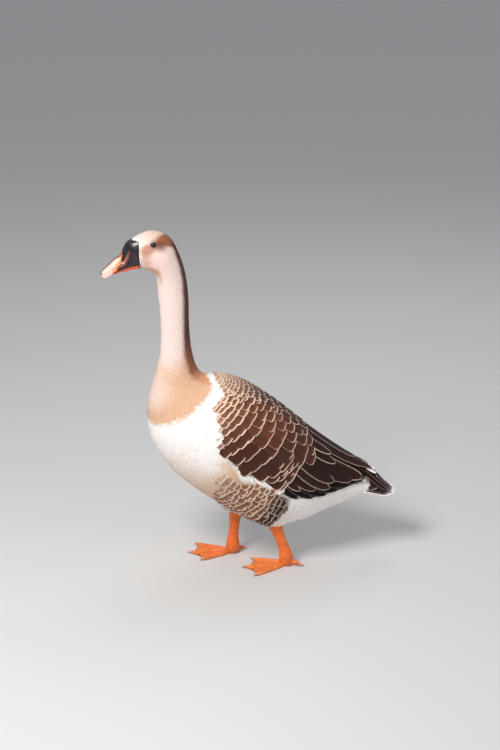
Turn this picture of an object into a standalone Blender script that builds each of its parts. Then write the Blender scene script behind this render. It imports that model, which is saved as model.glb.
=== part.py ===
"""A domestic goose at life size, standing as a still museum model, in metres.

+Z is up, the bill points to -Y, and the goose's left side is +X. Each named part of the body
is its own closed solid. The flesh from the bill to the tail is one loft of oval sections,
parted by thin cuts. The folded wings, thighs and tail are set against it with a thin gap.
"""
import math

import bmesh
import bpy
import numpy as np

# ---------------------------------------------------------------- driving dimensions
GAP = 0.0003            # clearance between neighbouring solids
HEAD_POINTS = 24        # points round a section of the head and neck
TRUNK_POINTS = 36       # points round a section of the trunk

# Each section of the body joins a point on the back to a point on the belly, both in the
# middle plane: name, back (y, z), belly (y, z), half width, level of the widest point as a
# fraction of the section's height, and squareness (2 is an ellipse).
BODY = (
    ("bill root", (-0.2465, 0.6575), (-0.2285, 0.6035), 0.0180, 0.42, 2.2),
    ("forehead", (-0.2330, 0.6665), (-0.2160, 0.5970), 0.0245, 0.48, 2.2),
    ("crown", (-0.2060, 0.6735), (-0.2050, 0.5895), 0.0295, 0.50, 2.1),
    ("hind head", (-0.1750, 0.6615), (-0.2000, 0.5830), 0.0300, 0.50, 2.1),
    ("nape", (-0.1570, 0.6290), (-0.1980, 0.5680), 0.0270, 0.50, 2.0),
    ("throat", (-0.1455, 0.5910), (-0.1970, 0.5480), 0.0245, 0.50, 2.0),
    ("upper neck", (-0.1400, 0.5455), (-0.1940, 0.5160), 0.0240, 0.50, 2.0),
    ("middle neck", (-0.1390, 0.4870), (-0.1930, 0.4700), 0.0250, 0.50, 2.0),
    ("lower neck", (-0.1350, 0.4400), (-0.1960, 0.4260), 0.0290, 0.50, 2.0),
    ("neck root", (-0.1240, 0.4020), (-0.2100, 0.3760), 0.0400, 0.48, 2.0),
    ("collar", (-0.1040, 0.3850), (-0.2215, 0.3200), 0.0600, 0.48, 2.0),
    ("chest", (-0.0720, 0.3810), (-0.2120, 0.2570), 0.0850, 0.50, 2.1),
    ("shoulder", (-0.0300, 0.3640), (-0.1700, 0.1940), 0.1020, 0.52, 2.2),
    ("keel", (0.0260, 0.3230), (-0.0970, 0.1330), 0.1070, 0.52, 2.2),
    ("belly", (0.0820, 0.2720), (-0.0220, 0.0860), 0.1010, 0.50, 2.2),
    ("hip", (0.1300, 0.2280), (0.0520, 0.0760), 0.0840, 0.50, 2.1),
    ("vent", (0.1720, 0.1930), (0.1200, 0.0960), 0.0600, 0.50, 2.0),
    ("tail root", (0.2040, 0.1720), (0.1780, 0.1160), 0.0440, 0.50, 2.0),
    ("tail covert", (0.2300, 0.1540), (0.2120, 0.1260), 0.0330, 0.50, 2.0),
    ("covert tip", (0.2460, 0.1450), (0.2400, 0.1340), 0.0200, 0.50, 2.0),
)

# Where the flesh is parted, and how finely each length is sectioned.
CUT_HEAD = 4.4
CUT_NECK = 7.0
CUT_TRUNK = 9.7
CUT_RUMP = 16.4
END_RUMP = 18.4

# The folded wing wraps the side of the trunk. Each row: place along the body, how far the
# wing stands out at the side, how far it rises over the back, the turn of its lower and of
# its upper edge round the section in degrees from the back, and its thickness at each edge.
WING = (
    (11.35, 0.001, 0.001, 66.0, 46.0, 0.006, 0.006),
    (11.65, 0.004, 0.002, 91.0, 34.0, 0.008, 0.008),
    (12.20, 0.007, 0.003, 97.0, 27.0, 0.012, 0.011),
    (13.00, 0.009, 0.004, 98.0, 19.0, 0.014, 0.013),
    (14.00, 0.010, 0.006, 96.0, 10.0, 0.012, 0.016),
    (15.00, 0.011, 0.009, 93.0, 4.0, 0.010, 0.020),
    (16.00, 0.012, 0.012, 81.0, 2.0, 0.007, 0.024),
    (16.90, 0.011, 0.013, 62.0, 2.0, 0.005, 0.022),
    (17.45, 0.008, 0.012, 42.0, 4.0, 0.003, 0.014),
    (17.80, 0.004, 0.009, 26.0, 11.0, 0.002, 0.005),
)
WING_SECTIONS = 17
WING_POINTS = 11        # points across the wing, from its lower to its upper edge
WING_EDGE_LIFT = 0.35   # share of the wing's stand-off that is left at its lower edge
MIDLINE = 0.0008        # the folded wings stop this far short of the middle plane

# The tail is a fan of feathers about a pivot deep in the body.
TAIL_PIVOT = (0.060, 0.1700)    # y, z
TAIL_DIP = math.radians(10)     # how far the fan points below the level
TAIL_ROLL = math.radians(4)     # the fan is carried with its left side low
TAIL_LENGTH = 0.2190            # pivot to the tip of the middle feathers
TAIL_START = 0.125
TAIL_SPREAD = math.radians(15)  # half of the fan's angle
TAIL_ROUND = 0.10               # how much shorter the outermost feathers are, as a fraction
TAIL_ARCH = 0.6                 # fall of the fan's edges, per metre of width squared
TAIL_DROOP = 0.005              # how far the feathers' tips hang below a straight line
TAIL_THICK = (0.007, 0.0016)    # at the root and at the tips

# The bill is lofted along its own length from the face to the tip. Each row: culmen (y, z),
# cutting edge (y, z), half width, fullness of the culmen (2 is round, 1.4 a roof).
BILL = (
    ((-0.2470, 0.6590), (-0.2325, 0.6120), 0.0165, 2.3),
    ((-0.2555, 0.6535), (-0.2405, 0.6120), 0.0165, 2.3),
    ((-0.2620, 0.6430), (-0.2480, 0.6105), 0.0150, 2.1),
    ((-0.2690, 0.6325), (-0.2570, 0.6080), 0.0135, 1.9),
    ((-0.2790, 0.6225), (-0.2680, 0.6040), 0.0122, 1.8),
    ((-0.2890, 0.6140), (-0.2800, 0.5985), 0.0114, 1.9),
    ((-0.2965, 0.6068), (-0.2890, 0.5925), 0.0106, 2.0),
    ((-0.3025, 0.6005), (-0.2960, 0.5890), 0.0086, 2.0),
    ((-0.3056, 0.5955), (-0.3020, 0.5888), 0.0048, 2.0),
)
BILL_POINTS = 20
NAIL_START = 6.2        # the nail takes the bill from this row to its tip
JAW = (                 # upper line (y, z), lower line (y, z), half width
    ((-0.2322, 0.6112), (-0.2300, 0.6025), 0.0140),
    ((-0.2400, 0.6110), (-0.2380, 0.6018), 0.0138),
    ((-0.2480, 0.6095), (-0.2475, 0.6005), 0.0125),
    ((-0.2575, 0.6070), (-0.2580, 0.5980), 0.0110),
    ((-0.2680, 0.6030), (-0.2700, 0.5960), 0.0096),
    ((-0.2790, 0.5978), (-0.2815, 0.5930), 0.0078),
    ((-0.2850, 0.5942), (-0.2870, 0.5915), 0.0045),
)

EYE_PLACE = (0.0222, -0.2072, 0.6515)   # left eye
EYE_RADIUS = 0.0058

# Legs: side name, sign of x, hock, ankle, the foot's turn to the goose's right in degrees, and
# how far the thigh's feathers stand in front of the bone.
LEGS = (
    ("left", 1, (0.0540, 0.0185, 0.0900), (0.0540, 0.0435, 0.0185), -1.0, 0.013),
    ("right", -1, (-0.0340, -0.0435, 0.0900), (-0.0250, -0.0525, 0.0185), 7.0, 0.000),
)
LEG_POINTS = 16
# Tarsus: share of the way down, radius fore and aft, radius from side to side.
TARSUS = (
    (-0.06, 0.0100, 0.0078),
    (0.06, 0.0132, 0.0100),
    (0.20, 0.0122, 0.0090),
    (0.42, 0.0106, 0.0078),
    (0.66, 0.0102, 0.0078),
    (0.84, 0.0116, 0.0092),
)
# The joint above the toes, from the end of the tarsus down to just off the floor.
BALL = (
    (0.30, 0.0136, 0.0108),
    (0.62, 0.0142, 0.0122),
    (0.88, 0.0126, 0.0112),
    (1.00, 0.0100, 0.0090),
)
SOLE_LIFT = 0.0009      # the joint's underside stays off the floor, behind the toes
# Thigh: share of the way from hock to hip, radius fore and aft, radius side to side.
HIP = (0.060, 0.008, 0.190)
THIGH = (
    (1.00, 0.008, 0.006),
    (0.88, 0.026, 0.018),
    (0.66, 0.040, 0.030),
    (0.42, 0.045, 0.033),
    (0.20, 0.041, 0.029),
    (0.06, 0.033, 0.022),
    (-0.02, 0.020, 0.0150),
)

# Toes: name, turn from the foot's middle line in degrees (positive is outward), length.
TOES = (("inner", -31.0, 0.070), ("middle", 0.0, 0.083), ("outer", 30.0, 0.080))
TOE_WIDTH = (0.0056, 0.0038)    # half width of a toe at its root and near its tip
TOE_HEIGHT = (0.0098, 0.0060)
TOE_START = 0.004       # the toes spring from this far before the heel's centre
TOE_SLIM = 0.22         # near the heel a toe is no wider than this share of its reach
TOE_ROWS = (0.0, 0.25, 0.50, 0.72, 0.90, 0.975, 1.0)
TOE_COLUMNS = (-1.0, -0.55, 0.0, 0.55, 1.0)
WEB_COLUMNS = 3
WEB_THICK = 0.0021
WEB_HOLLOW = 0.15       # how far the web's edge is drawn back between two toes
HALLUX = (152.0, 0.027) # turn and reach of the small hind toe
CLAW_LENGTH = 0.0075
CLAW_RADIUS = 0.0026
CLAW_LEVEL = 0.0036     # height of a claw's root


# ---------------------------------------------------------------- helpers
def clear_scene():
    for item in list(bpy.data.objects):
        bpy.data.objects.remove(item, do_unlink=True)


def collection(name):
    group = bpy.data.collections.get(name) or bpy.data.collections.new(name)
    if group.name not in bpy.context.scene.collection.children:
        bpy.context.scene.collection.children.link(group)
    return group


def finish(name, colour, roughness=0.6):
    """A plain Principled material in one colour."""
    made = bpy.data.materials.new(name)
    made.use_nodes = True
    shader = made.node_tree.nodes["Principled BSDF"]
    shader.inputs["Base Color"].default_value = (*colour, 1)
    shader.inputs["Roughness"].default_value = roughness
    shader.inputs["Metallic"].default_value = 0.0
    made.diffuse_color = (*colour, 1)
    return made


def solid(name, rings, material=None):
    """A closed body lofted through rings of equal length, with a flat cap on each end."""
    shape = bmesh.new()
    rows = [[shape.verts.new(point) for point in ring] for ring in rings]
    count = len(rows[0])
    for near, far in zip(rows, rows[1:]):
        for j in range(count):
            k = (j + 1) % count
            shape.faces.new((near[j], near[k], far[k], far[j]))
    shape.faces.new(rows[0])
    shape.faces.new(rows[-1])
    bmesh.ops.recalc_face_normals(shape, faces=shape.faces)
    mesh = bpy.data.meshes.new(name)
    shape.to_mesh(mesh)
    shape.free()
    made = bpy.data.objects.new(name, mesh)
    if material:
        mesh.materials.append(material)
        mesh.shade_smooth()
        collection("domestic_goose").objects.link(made)
    else:
        made.hide_render = True
        made.display_type = "WIRE"
        collection("cutters").objects.link(made)
    return made


def ball(name, centre, radius, material=None, segments=20):
    """A sphere, as a part of the goose or as a cutter."""
    bpy.ops.mesh.primitive_uv_sphere_add(
        segments=segments, ring_count=segments // 2, radius=radius, location=centre
    )
    made = bpy.context.active_object
    made.name = name
    for group in list(made.users_collection):
        group.objects.unlink(made)
    if material:
        made.data.materials.append(material)
        made.data.shade_smooth()
        collection("domestic_goose").objects.link(made)
    else:
        made.hide_render = True
        made.display_type = "WIRE"
        collection("cutters").objects.link(made)
    return made


def combine(target, other, operation="DIFFERENCE"):
    step = target.modifiers.new(f"{operation.lower()} {other.name}", "BOOLEAN")
    step.object = other
    step.operation = operation
    step.solver = "EXACT"


def along(values, s):
    """A smooth track through evenly numbered values, read at s (a Catmull-Rom curve)."""
    last = len(values) - 1
    i = min(max(int(math.floor(s)), 0), last - 1)
    t = s - i
    before, start, end, after = (values[min(max(i + k, 0), last)] for k in (-1, 0, 1, 2))
    slope_in, slope_out = (end - before) / 2, (after - start) / 2
    return (
        start * (2 * t**3 - 3 * t**2 + 1)
        + slope_in * (t**3 - 2 * t**2 + t)
        + end * (3 * t**2 - 2 * t**3)
        + slope_out * (t**3 - t**2)
    )


def evenly(start, end, count):
    return np.linspace(start, end, count + 1)


# ---------------------------------------------------------------- the body's loft
BODY_ROWS = np.array([[*row[1], *row[2], *row[3:]] for row in BODY], float)


def body_points(s, turn, side=0.0, rise=0.0):
    """Points on the section at s, at angles measured from the back over the left side.

    side widens the section and rise makes it taller, each by a distance in metres.
    """
    back_y, back_z, belly_y, belly_z, half, widest, square = along(BODY_ROWS, s)
    back, belly = np.array([back_y, back_z]), np.array([belly_y, belly_z])
    height = np.linalg.norm(back - belly)
    up = (back - belly) / height
    centre = belly + up * height * widest
    sine, cosine = np.sin(turn), np.cos(turn)
    out = np.sign(sine) * np.abs(sine) ** (2 / square) * (half + side)
    reach = np.where(cosine > 0, height * (1 - widest), height * widest) + rise
    lift = np.sign(cosine) * np.abs(cosine) ** (2 / square) * reach
    return np.column_stack([out, centre[0] + up[0] * lift, centre[1] + up[1] * lift])


def body_centre(s):
    """The middle of the section at s, and the direction of the tail from it."""
    back_y, back_z, belly_y, belly_z, _, widest, _ = along(BODY_ROWS, s)
    up = np.array([back_y - belly_y, back_z - belly_z])
    centre = np.array([belly_y, belly_z]) + up * widest
    up /= np.linalg.norm(up)
    return np.array([0.0, *centre]), np.array([0.0, up[1], -up[0]])


def section(s, points, swell=0.0, shift=0.0):
    """A whole ring round the body at s, moved along the body by shift."""
    turn = np.arange(points) * 2 * math.pi / points
    return body_points(s, turn, swell, swell) + body_centre(s)[1] * shift


def length_of_body(name, start, end, steps, points, material, swell=0.0):
    """The body between two cuts. Each cut face stands back by half of the gap."""
    places = evenly(start, end, steps)
    shifts = np.zeros(len(places))
    shifts[0], shifts[-1] = GAP / 2 - swell, swell - GAP / 2
    rings = [section(s, points, swell, shift) for s, shift in zip(places, shifts)]
    return solid(name, rings, material)


# ---------------------------------------------------------------- parts of the body
def make_eyes(head):
    horn = finish("dark_eye", (0.012, 0.008, 0.006), 0.08)
    for name, sign in (("left", 1), ("right", -1)):
        place = (sign * EYE_PLACE[0], *EYE_PLACE[1:])
        ball(f"eye_{name}", place, EYE_RADIUS, horn, 14)
        combine(head, ball(f"socket_{name}", place, EYE_RADIUS + GAP, None, 14))


def bill_ring(top, bottom, half, full):
    """A section of the upper bill: a rounded roof over a flat palate."""
    roof = np.linspace(-1, 1, BILL_POINTS - 5)
    x = half * roof
    height = (1 - np.abs(roof) ** full) ** (1 / full)
    line = bottom[None] + (top - bottom)[None] * height[:, None]
    palate = np.linspace(1, -1, 7)[1:-1]
    floor = np.repeat(bottom[None], len(palate), 0)
    points = np.vstack([line, floor])
    return np.column_stack([np.concatenate([x, half * palate]), points])


def make_bill():
    """The upper bill, its hard nail and the lower bill, from the face to the tip."""
    rows = np.array([[*row[0], *row[1], *row[2:]] for row in BILL], float)

    def rings(start, end, steps, shift_start, shift_end):
        places = evenly(start, end, steps)
        shifts = np.zeros(len(places))
        shifts[0], shifts[-1] = shift_start, shift_end
        made = []
        for s, shift in zip(places, shifts):
            top_y, top_z, low_y, low_z, half, full = along(rows, s)
            top, low = np.array([top_y, top_z]), np.array([low_y, low_z])
            ring = bill_ring(top, low, half, full)
            up = (top - low) / np.linalg.norm(top - low)
            made.append(ring + np.array([0.0, -up[1], up[0]]) * shift)
        return made

    last = len(BILL) - 1
    upper = finish("bill_black", (0.03, 0.02, 0.03), 0.4)
    pale = finish("bill_nail", (0.80, 0.50, 0.42), 0.4)
    orange = finish("bill_orange", (0.75, 0.22, 0.08), 0.45)
    solid("bill_upper", rings(0, NAIL_START, 10, GAP, -GAP / 2), upper)
    solid("bill_nail", rings(NAIL_START, last, 4, GAP / 2, 0), pale)
    rows_low = np.array([[*row[0], *row[1], row[2]] for row in JAW], float)
    jaw = []
    for s in evenly(0, len(JAW) - 1, 8):
        top_y, top_z, low_y, low_z, half = along(rows_low, s)
        top, low = np.array([top_y, top_z]), np.array([low_y, low_z])
        turn = np.linspace(-math.pi / 2, math.pi / 2, 10)
        line = top[None] + (low - top)[None] * np.cos(turn)[:, None]
        flat = np.linspace(1, -1, 5)[1:-1]
        points = np.vstack([line, np.repeat(top[None], len(flat), 0)])
        x = np.concatenate([half * np.sin(turn), half * flat])
        jaw.append(np.column_stack([x, points]))
    solid("bill_lower", jaw, orange)


def wing_rings(sign):
    """Sections of a folded wing, each a thick strip bent round the side of the trunk."""
    rows = np.array(WING)
    across = np.linspace(0, 1, WING_POINTS)
    rings = []
    for t in evenly(0, len(WING) - 1, WING_SECTIONS):
        s, side, rise, low, high, thin, thick = along(rows, t)
        turn = np.radians(low + (high - low) * across)
        climb = np.sin(np.minimum(across * 2.2, 1) * math.pi / 2)
        lift = WING_EDGE_LIFT + (1 - WING_EDGE_LIFT) * climb
        outer = body_points(s, turn, side * lift, rise * lift)
        centre = body_centre(s)[0]
        inward = centre[None] - outer
        inward[:, 0] *= 0.9
        distance = np.linalg.norm(inward, axis=1)
        depth = np.minimum(thin + (thick - thin) * across**1.5, distance * 0.7)
        inner = outer + inward * (depth / distance)[:, None]
        ring = np.vstack([outer, inner[::-1]])
        ring[:, 0] = np.maximum(ring[:, 0], MIDLINE) * sign
        rings.append(ring)
    return rings


def make_wings(trunk_space):
    brown = finish("wing_brown", (0.10, 0.05, 0.035), 0.6)
    for name, sign in (("left", 1), ("right", -1)):
        wing = solid(f"wing_{name}", wing_rings(sign), brown)
        combine(wing, trunk_space)


def make_tail(trunk_space):
    """The fan: rows of points from the root to the feathers' tips, arched across."""
    brown = finish("tail_brown", (0.08, 0.05, 0.045), 0.6)
    spread = np.linspace(-1, 1, 15)
    angle = spread * TAIL_SPREAD
    rings = []
    for t in np.linspace(0, 1, 8):
        reach = TAIL_LENGTH * (1 - TAIL_ROUND * np.abs(spread) ** 2.6)
        radius = TAIL_START + (reach - TAIL_START) * t
        x = radius * np.sin(angle)
        y = radius * np.cos(angle)
        thick = TAIL_THICK[0] + (TAIL_THICK[1] - TAIL_THICK[0]) * t
        fall = -TAIL_ARCH * x**2 - TAIL_DROOP * t**3 - x * math.tan(TAIL_ROLL)
        top = np.column_stack([x, y, fall + thick / 2])
        under = np.column_stack([x, y, fall - thick / 2])
        ring = np.vstack([top, under[::-1]])
        level = ring[:, 1] * math.cos(TAIL_DIP) + ring[:, 2] * math.sin(TAIL_DIP)
        height = -ring[:, 1] * math.sin(TAIL_DIP) + ring[:, 2] * math.cos(TAIL_DIP)
        level += TAIL_PIVOT[0]
        height += TAIL_PIVOT[1]
        rings.append(np.column_stack([ring[:, 0], level, height]))
    combine(solid("tail", rings, brown), trunk_space)


def tube_ring(centre, axis, fore, side, points=LEG_POINTS):
    """An oval ring square to an axis, longer fore and aft than from side to side."""
    axis = axis / np.linalg.norm(axis)
    across = np.cross(axis, (0.0, 1.0, 0.0))
    across /= np.linalg.norm(across)
    front = np.cross(across, axis)
    turn = np.arange(points) * 2 * math.pi / points
    return centre + np.outer(np.cos(turn) * fore, front) + np.outer(np.sin(turn) * side, across)


def make_thigh(name, sign, hock, ahead, trunk_space, shank_space):
    """The feathered thigh, bulging under the flank and closing round the hock."""
    down = finish(f"thigh_{name}_feathers", (0.55, 0.42, 0.33), 0.7)
    rings = []
    hip = np.array([sign * HIP[0], *HIP[1:]])
    for share, fore, side in THIGH:
        middle = hock + (hip - hock) * share - (0, ahead * min(share * 4, 1), 0)
        rings.append(tube_ring(middle, np.array([0.0, 0.0, 1.0]), fore, side, 20))
    thigh = solid(f"thigh_{name}", rings, down)
    combine(thigh, trunk_space)
    combine(thigh, shank_space)


def make_shank(name, hock, ankle, material, swell=0.0):
    """The bare tarsus from the hock down to the cut above the foot."""
    way = ankle - hock
    rings = [
        tube_ring(hock + way * share, way, fore + swell, side + swell)
        for share, fore, side in TARSUS
    ]
    if swell:
        return solid(f"shank_space_{name}", rings)
    return solid(f"shank_{name}", rings, material)


def toe_points(sign, turn, length, offset, t):
    """A line along a toe: t runs from the heel to the tip, offset from edge to edge."""
    way = np.array([sign * math.sin(turn), -math.cos(turn)])
    across = np.array([sign * math.cos(turn), math.sin(turn)])
    rounding = math.sqrt(max(1 - max((t - 0.88) / 0.12, 0) ** 2, 0.02))
    reach = TOE_START + (length - TOE_START) * t
    width = min(TOE_WIDTH[0] + (TOE_WIDTH[1] - TOE_WIDTH[0]) * t, reach * TOE_SLIM) * rounding
    crest = TOE_HEIGHT[0] + (TOE_HEIGHT[1] - TOE_HEIGHT[0]) * t
    crest = WEB_THICK + (crest - WEB_THICK) * (0.35 + 0.65 * rounding)
    height = WEB_THICK + (crest - WEB_THICK) * math.sqrt(max(1 - offset**2, 0))
    place = way * reach + across * width * offset
    return np.array([*place, height])


def webbed_toes(sign):
    """Rows from the heel to the tips: a rounded top over the toes and web, and a flat sole."""
    toes = [(math.radians(turn), length) for _, turn, length in TOES]
    rings = []
    for t in TOE_ROWS:
        line = [toe_points(sign, *toes[0], offset, t) for offset in TOE_COLUMNS]
        for near, far in zip(toes, toes[1:]):
            for share in np.linspace(0, 1, WEB_COLUMNS + 2)[1:-1]:
                back = t * (1 - WEB_HOLLOW * math.sin(math.pi * share) ** 0.7)
                point = toe_points(sign, *near, 1, back) * (1 - share)
                line.append(point + toe_points(sign, *far, -1, back) * share)
            line += [toe_points(sign, *far, offset, t) for offset in TOE_COLUMNS]
        top = np.array(line)
        rings.append(np.vstack([top, (top * (1, 1, 0))[::-1]]))
    return rings


def make_foot(name, sign, hock, ankle, heading, skin, claw_skin):
    """Three webbed toes with flat soles, the joint above them and the small hind toe."""
    heel = ankle * (1, 1, 0)
    rings = [turned(ring, heading) + heel for ring in webbed_toes(sign)]
    foot = solid(f"foot_{name}", rings, skin)

    way = (ankle - hock) / np.linalg.norm(ankle - hock)
    last, fore, side = TARSUS[-1]
    cut = hock + (ankle - hock) * last + way * GAP
    joint = [tube_ring(cut, way, fore, side)]
    for share, fore, side in BALL:
        tilt = way * (1 - share) + np.array([0.0, 0.0, -1.0]) * share
        joint.append(tube_ring(cut + (heel + (0, 0, SOLE_LIFT) - cut) * share, tilt, fore, side))
    combine(foot, solid(f"ball_{name}", joint), "UNION")

    turn, length = math.radians(HALLUX[0]), HALLUX[1]
    back = turned(np.array([[sign * math.sin(turn), -math.cos(turn), 0.0]]), heading)[0]
    toe = []
    for share, radius in ((0.2, 0.0044), (0.6, 0.0040), (0.9, 0.0034), (1.0, 0.0024)):
        middle = heel + back * length * share + (0, 0, 0.0115 - 0.0070 * share)
        toe.append(tube_ring(middle, back + (0, 0, -0.28), radius, radius, 10))
    combine(foot, solid(f"hallux_{name}", toe), "UNION")

    tips = [(*toe, CLAW_LEVEL) for toe in TOES]
    tips.append(("hind", HALLUX[0], length + GAP, CLAW_LEVEL + 0.0008))
    for toe_name, toe_turn, toe_length, level in tips:
        angle = math.radians(toe_turn)
        aim = turned(np.array([[sign * math.sin(angle), -math.cos(angle), 0.0]]), heading)[0]
        root = heel + aim * (toe_length + GAP) + (0, 0, level)
        claw = []
        for share in (0.0, 0.4, 0.75, 1.0):
            radius = CLAW_RADIUS * (1 - share) ** 0.6 + 0.0004
            middle = root + aim * CLAW_LENGTH * share - np.array([0, 0, 0.0014 * share**2])
            claw.append(tube_ring(middle, aim, radius, radius, 6))
        solid(f"claw_{name}_{toe_name}", claw, claw_skin)


def turned(points, degrees):
    """Points turned about the vertical, the toes towards the goose's right."""
    sine, cosine = math.sin(math.radians(degrees)), math.cos(math.radians(degrees))
    x, y, z = points.T
    return np.column_stack([x * cosine + y * sine, y * cosine - x * sine, z])


def stand_on_origin():
    """Parent every part to one empty and place the goose's box over the origin."""
    depsgraph = bpy.context.evaluated_depsgraph_get()
    corners = []
    parts = [item for group in ("domestic_goose", "cutters") for item in collection(group).objects]
    for item in collection("domestic_goose").objects:
        shape = item.evaluated_get(depsgraph).to_mesh()
        corners += [item.matrix_world @ vertex.co for vertex in shape.vertices]
    corners = np.array([tuple(point) for point in corners])
    low, high = corners.min(0), corners.max(0)
    place = bpy.data.objects.new("goose_place", None)
    collection("domestic_goose").objects.link(place)
    for item in parts:
        item.parent = place
    place.location = (-(low[0] + high[0]) / 2, -(low[1] + high[1]) / 2, -low[2])


def main():
    clear_scene()
    cream = finish("cream_feathers", (0.80, 0.68, 0.58), 0.7)
    buff = finish("buff_feathers", (0.72, 0.52, 0.36), 0.7)
    white = finish("white_feathers", (0.85, 0.83, 0.80), 0.7)
    orange = finish("leg_orange", (0.85, 0.22, 0.04), 0.5)
    horn = finish("claw_horn", (0.62, 0.45, 0.34), 0.4)

    head = length_of_body("head", 0, CUT_HEAD, 9, HEAD_POINTS, cream)
    make_eyes(head)
    make_bill()
    length_of_body("neck_upper", CUT_HEAD, CUT_NECK, 6, HEAD_POINTS, cream)
    length_of_body("neck_lower", CUT_NECK, CUT_TRUNK, 7, HEAD_POINTS, buff)
    length_of_body("trunk", CUT_TRUNK, CUT_RUMP, 17, TRUNK_POINTS, white)
    length_of_body("rump", CUT_RUMP, END_RUMP, 5, TRUNK_POINTS, white)
    trunk_space = length_of_body("trunk_space", CUT_TRUNK, CUT_RUMP, 17, TRUNK_POINTS, None, GAP)
    rump_space = length_of_body("rump_space", CUT_RUMP, END_RUMP, 5, TRUNK_POINTS, None, GAP)
    combine(trunk_space, rump_space, "UNION")
    make_wings(trunk_space)
    make_tail(trunk_space)
    for name, sign, hock, ankle, heading, ahead in LEGS:
        hock, ankle = np.array(hock), np.array(ankle)
        combine(make_shank(name, hock, ankle, orange), trunk_space)
        shank_space = make_shank(name, hock, ankle, orange, GAP)
        make_thigh(name, sign, hock, ahead, trunk_space, shank_space)
        make_foot(name, sign, hock, ankle, heading, orange, horn)
    stand_on_origin()


main()
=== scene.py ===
# %% [markdown]
# # A domestic goose, standing
# The solid goose already has every body part in its place. This lesson dresses it: one skin
# under the plumage, thousands of small feathers, the large patterned feathers of the wings,
# the head with its bill and eyes, and the webbed feet. Everything is worked out in metres in
# the frame of the solid model, with +Z up, the bill towards -Y and the left side on +X.

# %% Load the solid goose
import math

import bpy
import mathutils
import numpy as np
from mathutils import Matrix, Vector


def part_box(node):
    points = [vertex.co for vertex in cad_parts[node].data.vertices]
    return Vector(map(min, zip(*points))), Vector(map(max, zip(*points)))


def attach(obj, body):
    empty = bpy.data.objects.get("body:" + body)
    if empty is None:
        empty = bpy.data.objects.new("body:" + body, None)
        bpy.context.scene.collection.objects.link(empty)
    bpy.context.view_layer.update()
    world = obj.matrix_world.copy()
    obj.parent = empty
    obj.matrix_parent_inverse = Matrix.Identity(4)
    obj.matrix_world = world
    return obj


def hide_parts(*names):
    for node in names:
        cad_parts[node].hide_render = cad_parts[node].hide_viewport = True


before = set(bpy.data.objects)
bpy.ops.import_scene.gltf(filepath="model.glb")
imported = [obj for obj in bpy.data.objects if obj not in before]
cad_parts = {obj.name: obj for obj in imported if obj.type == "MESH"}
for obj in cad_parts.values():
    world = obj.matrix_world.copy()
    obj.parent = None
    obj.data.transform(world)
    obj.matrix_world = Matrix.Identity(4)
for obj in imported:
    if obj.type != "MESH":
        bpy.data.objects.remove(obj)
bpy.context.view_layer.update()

# %% [markdown]
# The solid model was drawn with its parts listed from the bill root to the tail, and then set
# over the origin. The left eye tells how far it was moved, so the same named sections can be
# used again here. A bird's form could be sculpted by hand, but a table of sections keeps the
# skin and each feather on exactly the form that the solids have.

# %% The sections of the body
EYE = np.array([0.0222, -0.2072, 0.6515])
EYE_RADIUS = 0.0058
PLACE = np.mean([np.array(corner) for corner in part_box("eye_left")], axis=0) - EYE

# back (y, z), belly (y, z), half width, level of the widest point, squareness
BODY = np.array([
    (-0.2465, 0.6575, -0.2285, 0.6035, 0.0180, 0.42, 2.2),  # bill root
    (-0.2330, 0.6665, -0.2160, 0.5970, 0.0245, 0.48, 2.2),  # forehead
    (-0.2060, 0.6735, -0.2050, 0.5895, 0.0295, 0.50, 2.1),  # crown
    (-0.1750, 0.6615, -0.2000, 0.5830, 0.0300, 0.50, 2.1),  # hind head
    (-0.1570, 0.6290, -0.1980, 0.5680, 0.0270, 0.50, 2.0),  # nape
    (-0.1455, 0.5910, -0.1970, 0.5480, 0.0245, 0.50, 2.0),  # throat
    (-0.1400, 0.5455, -0.1940, 0.5160, 0.0240, 0.50, 2.0),  # upper neck
    (-0.1390, 0.4870, -0.1930, 0.4700, 0.0250, 0.50, 2.0),  # middle neck
    (-0.1350, 0.4400, -0.1960, 0.4260, 0.0290, 0.50, 2.0),  # lower neck
    (-0.1240, 0.4020, -0.2100, 0.3760, 0.0400, 0.48, 2.0),  # neck root
    (-0.1040, 0.3850, -0.2215, 0.3200, 0.0600, 0.48, 2.0),  # collar
    (-0.0720, 0.3810, -0.2120, 0.2570, 0.0850, 0.50, 2.1),  # chest
    (-0.0300, 0.3640, -0.1700, 0.1940, 0.1020, 0.52, 2.2),  # shoulder
    (0.0260, 0.3230, -0.0970, 0.1330, 0.1070, 0.52, 2.2),  # keel
    (0.0820, 0.2720, -0.0220, 0.0860, 0.1010, 0.50, 2.2),  # belly
    (0.1300, 0.2280, 0.0520, 0.0760, 0.0840, 0.50, 2.1),  # hip
    (0.1720, 0.1930, 0.1200, 0.0960, 0.0600, 0.50, 2.0),  # vent
    (0.2040, 0.1720, 0.1780, 0.1160, 0.0440, 0.50, 2.0),  # tail root
    (0.2300, 0.1540, 0.2120, 0.1260, 0.0330, 0.50, 2.0),  # tail covert
    (0.2460, 0.1450, 0.2400, 0.1340, 0.0200, 0.50, 2.0),  # covert tip
])
BODY_END = 18.4
print("the model was set down by", np.round(PLACE, 4))


# %% [markdown]
# A place on the bird is named by two numbers: s, which section it is on, and turn, the angle
# round the section from the middle of the back (0) over the left flank (90) to the middle of
# the belly (180). Negative turns are on the right side. Plain x, y and z would do as well, but
# in these two numbers a border of colour or a row of feathers is one short rule.

# %% From section and turn to a point in space
def smooth(low, high, x):
    """0 below low, 1 above high, and 3t^2 - 2t^3 between them."""
    t = np.clip((x - low) / (high - low), 0, 1)
    return t * t * (3 - 2 * t)


def unit(vectors):
    return vectors / np.maximum(np.linalg.norm(vectors, axis=-1, keepdims=True), 1e-12)


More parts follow.
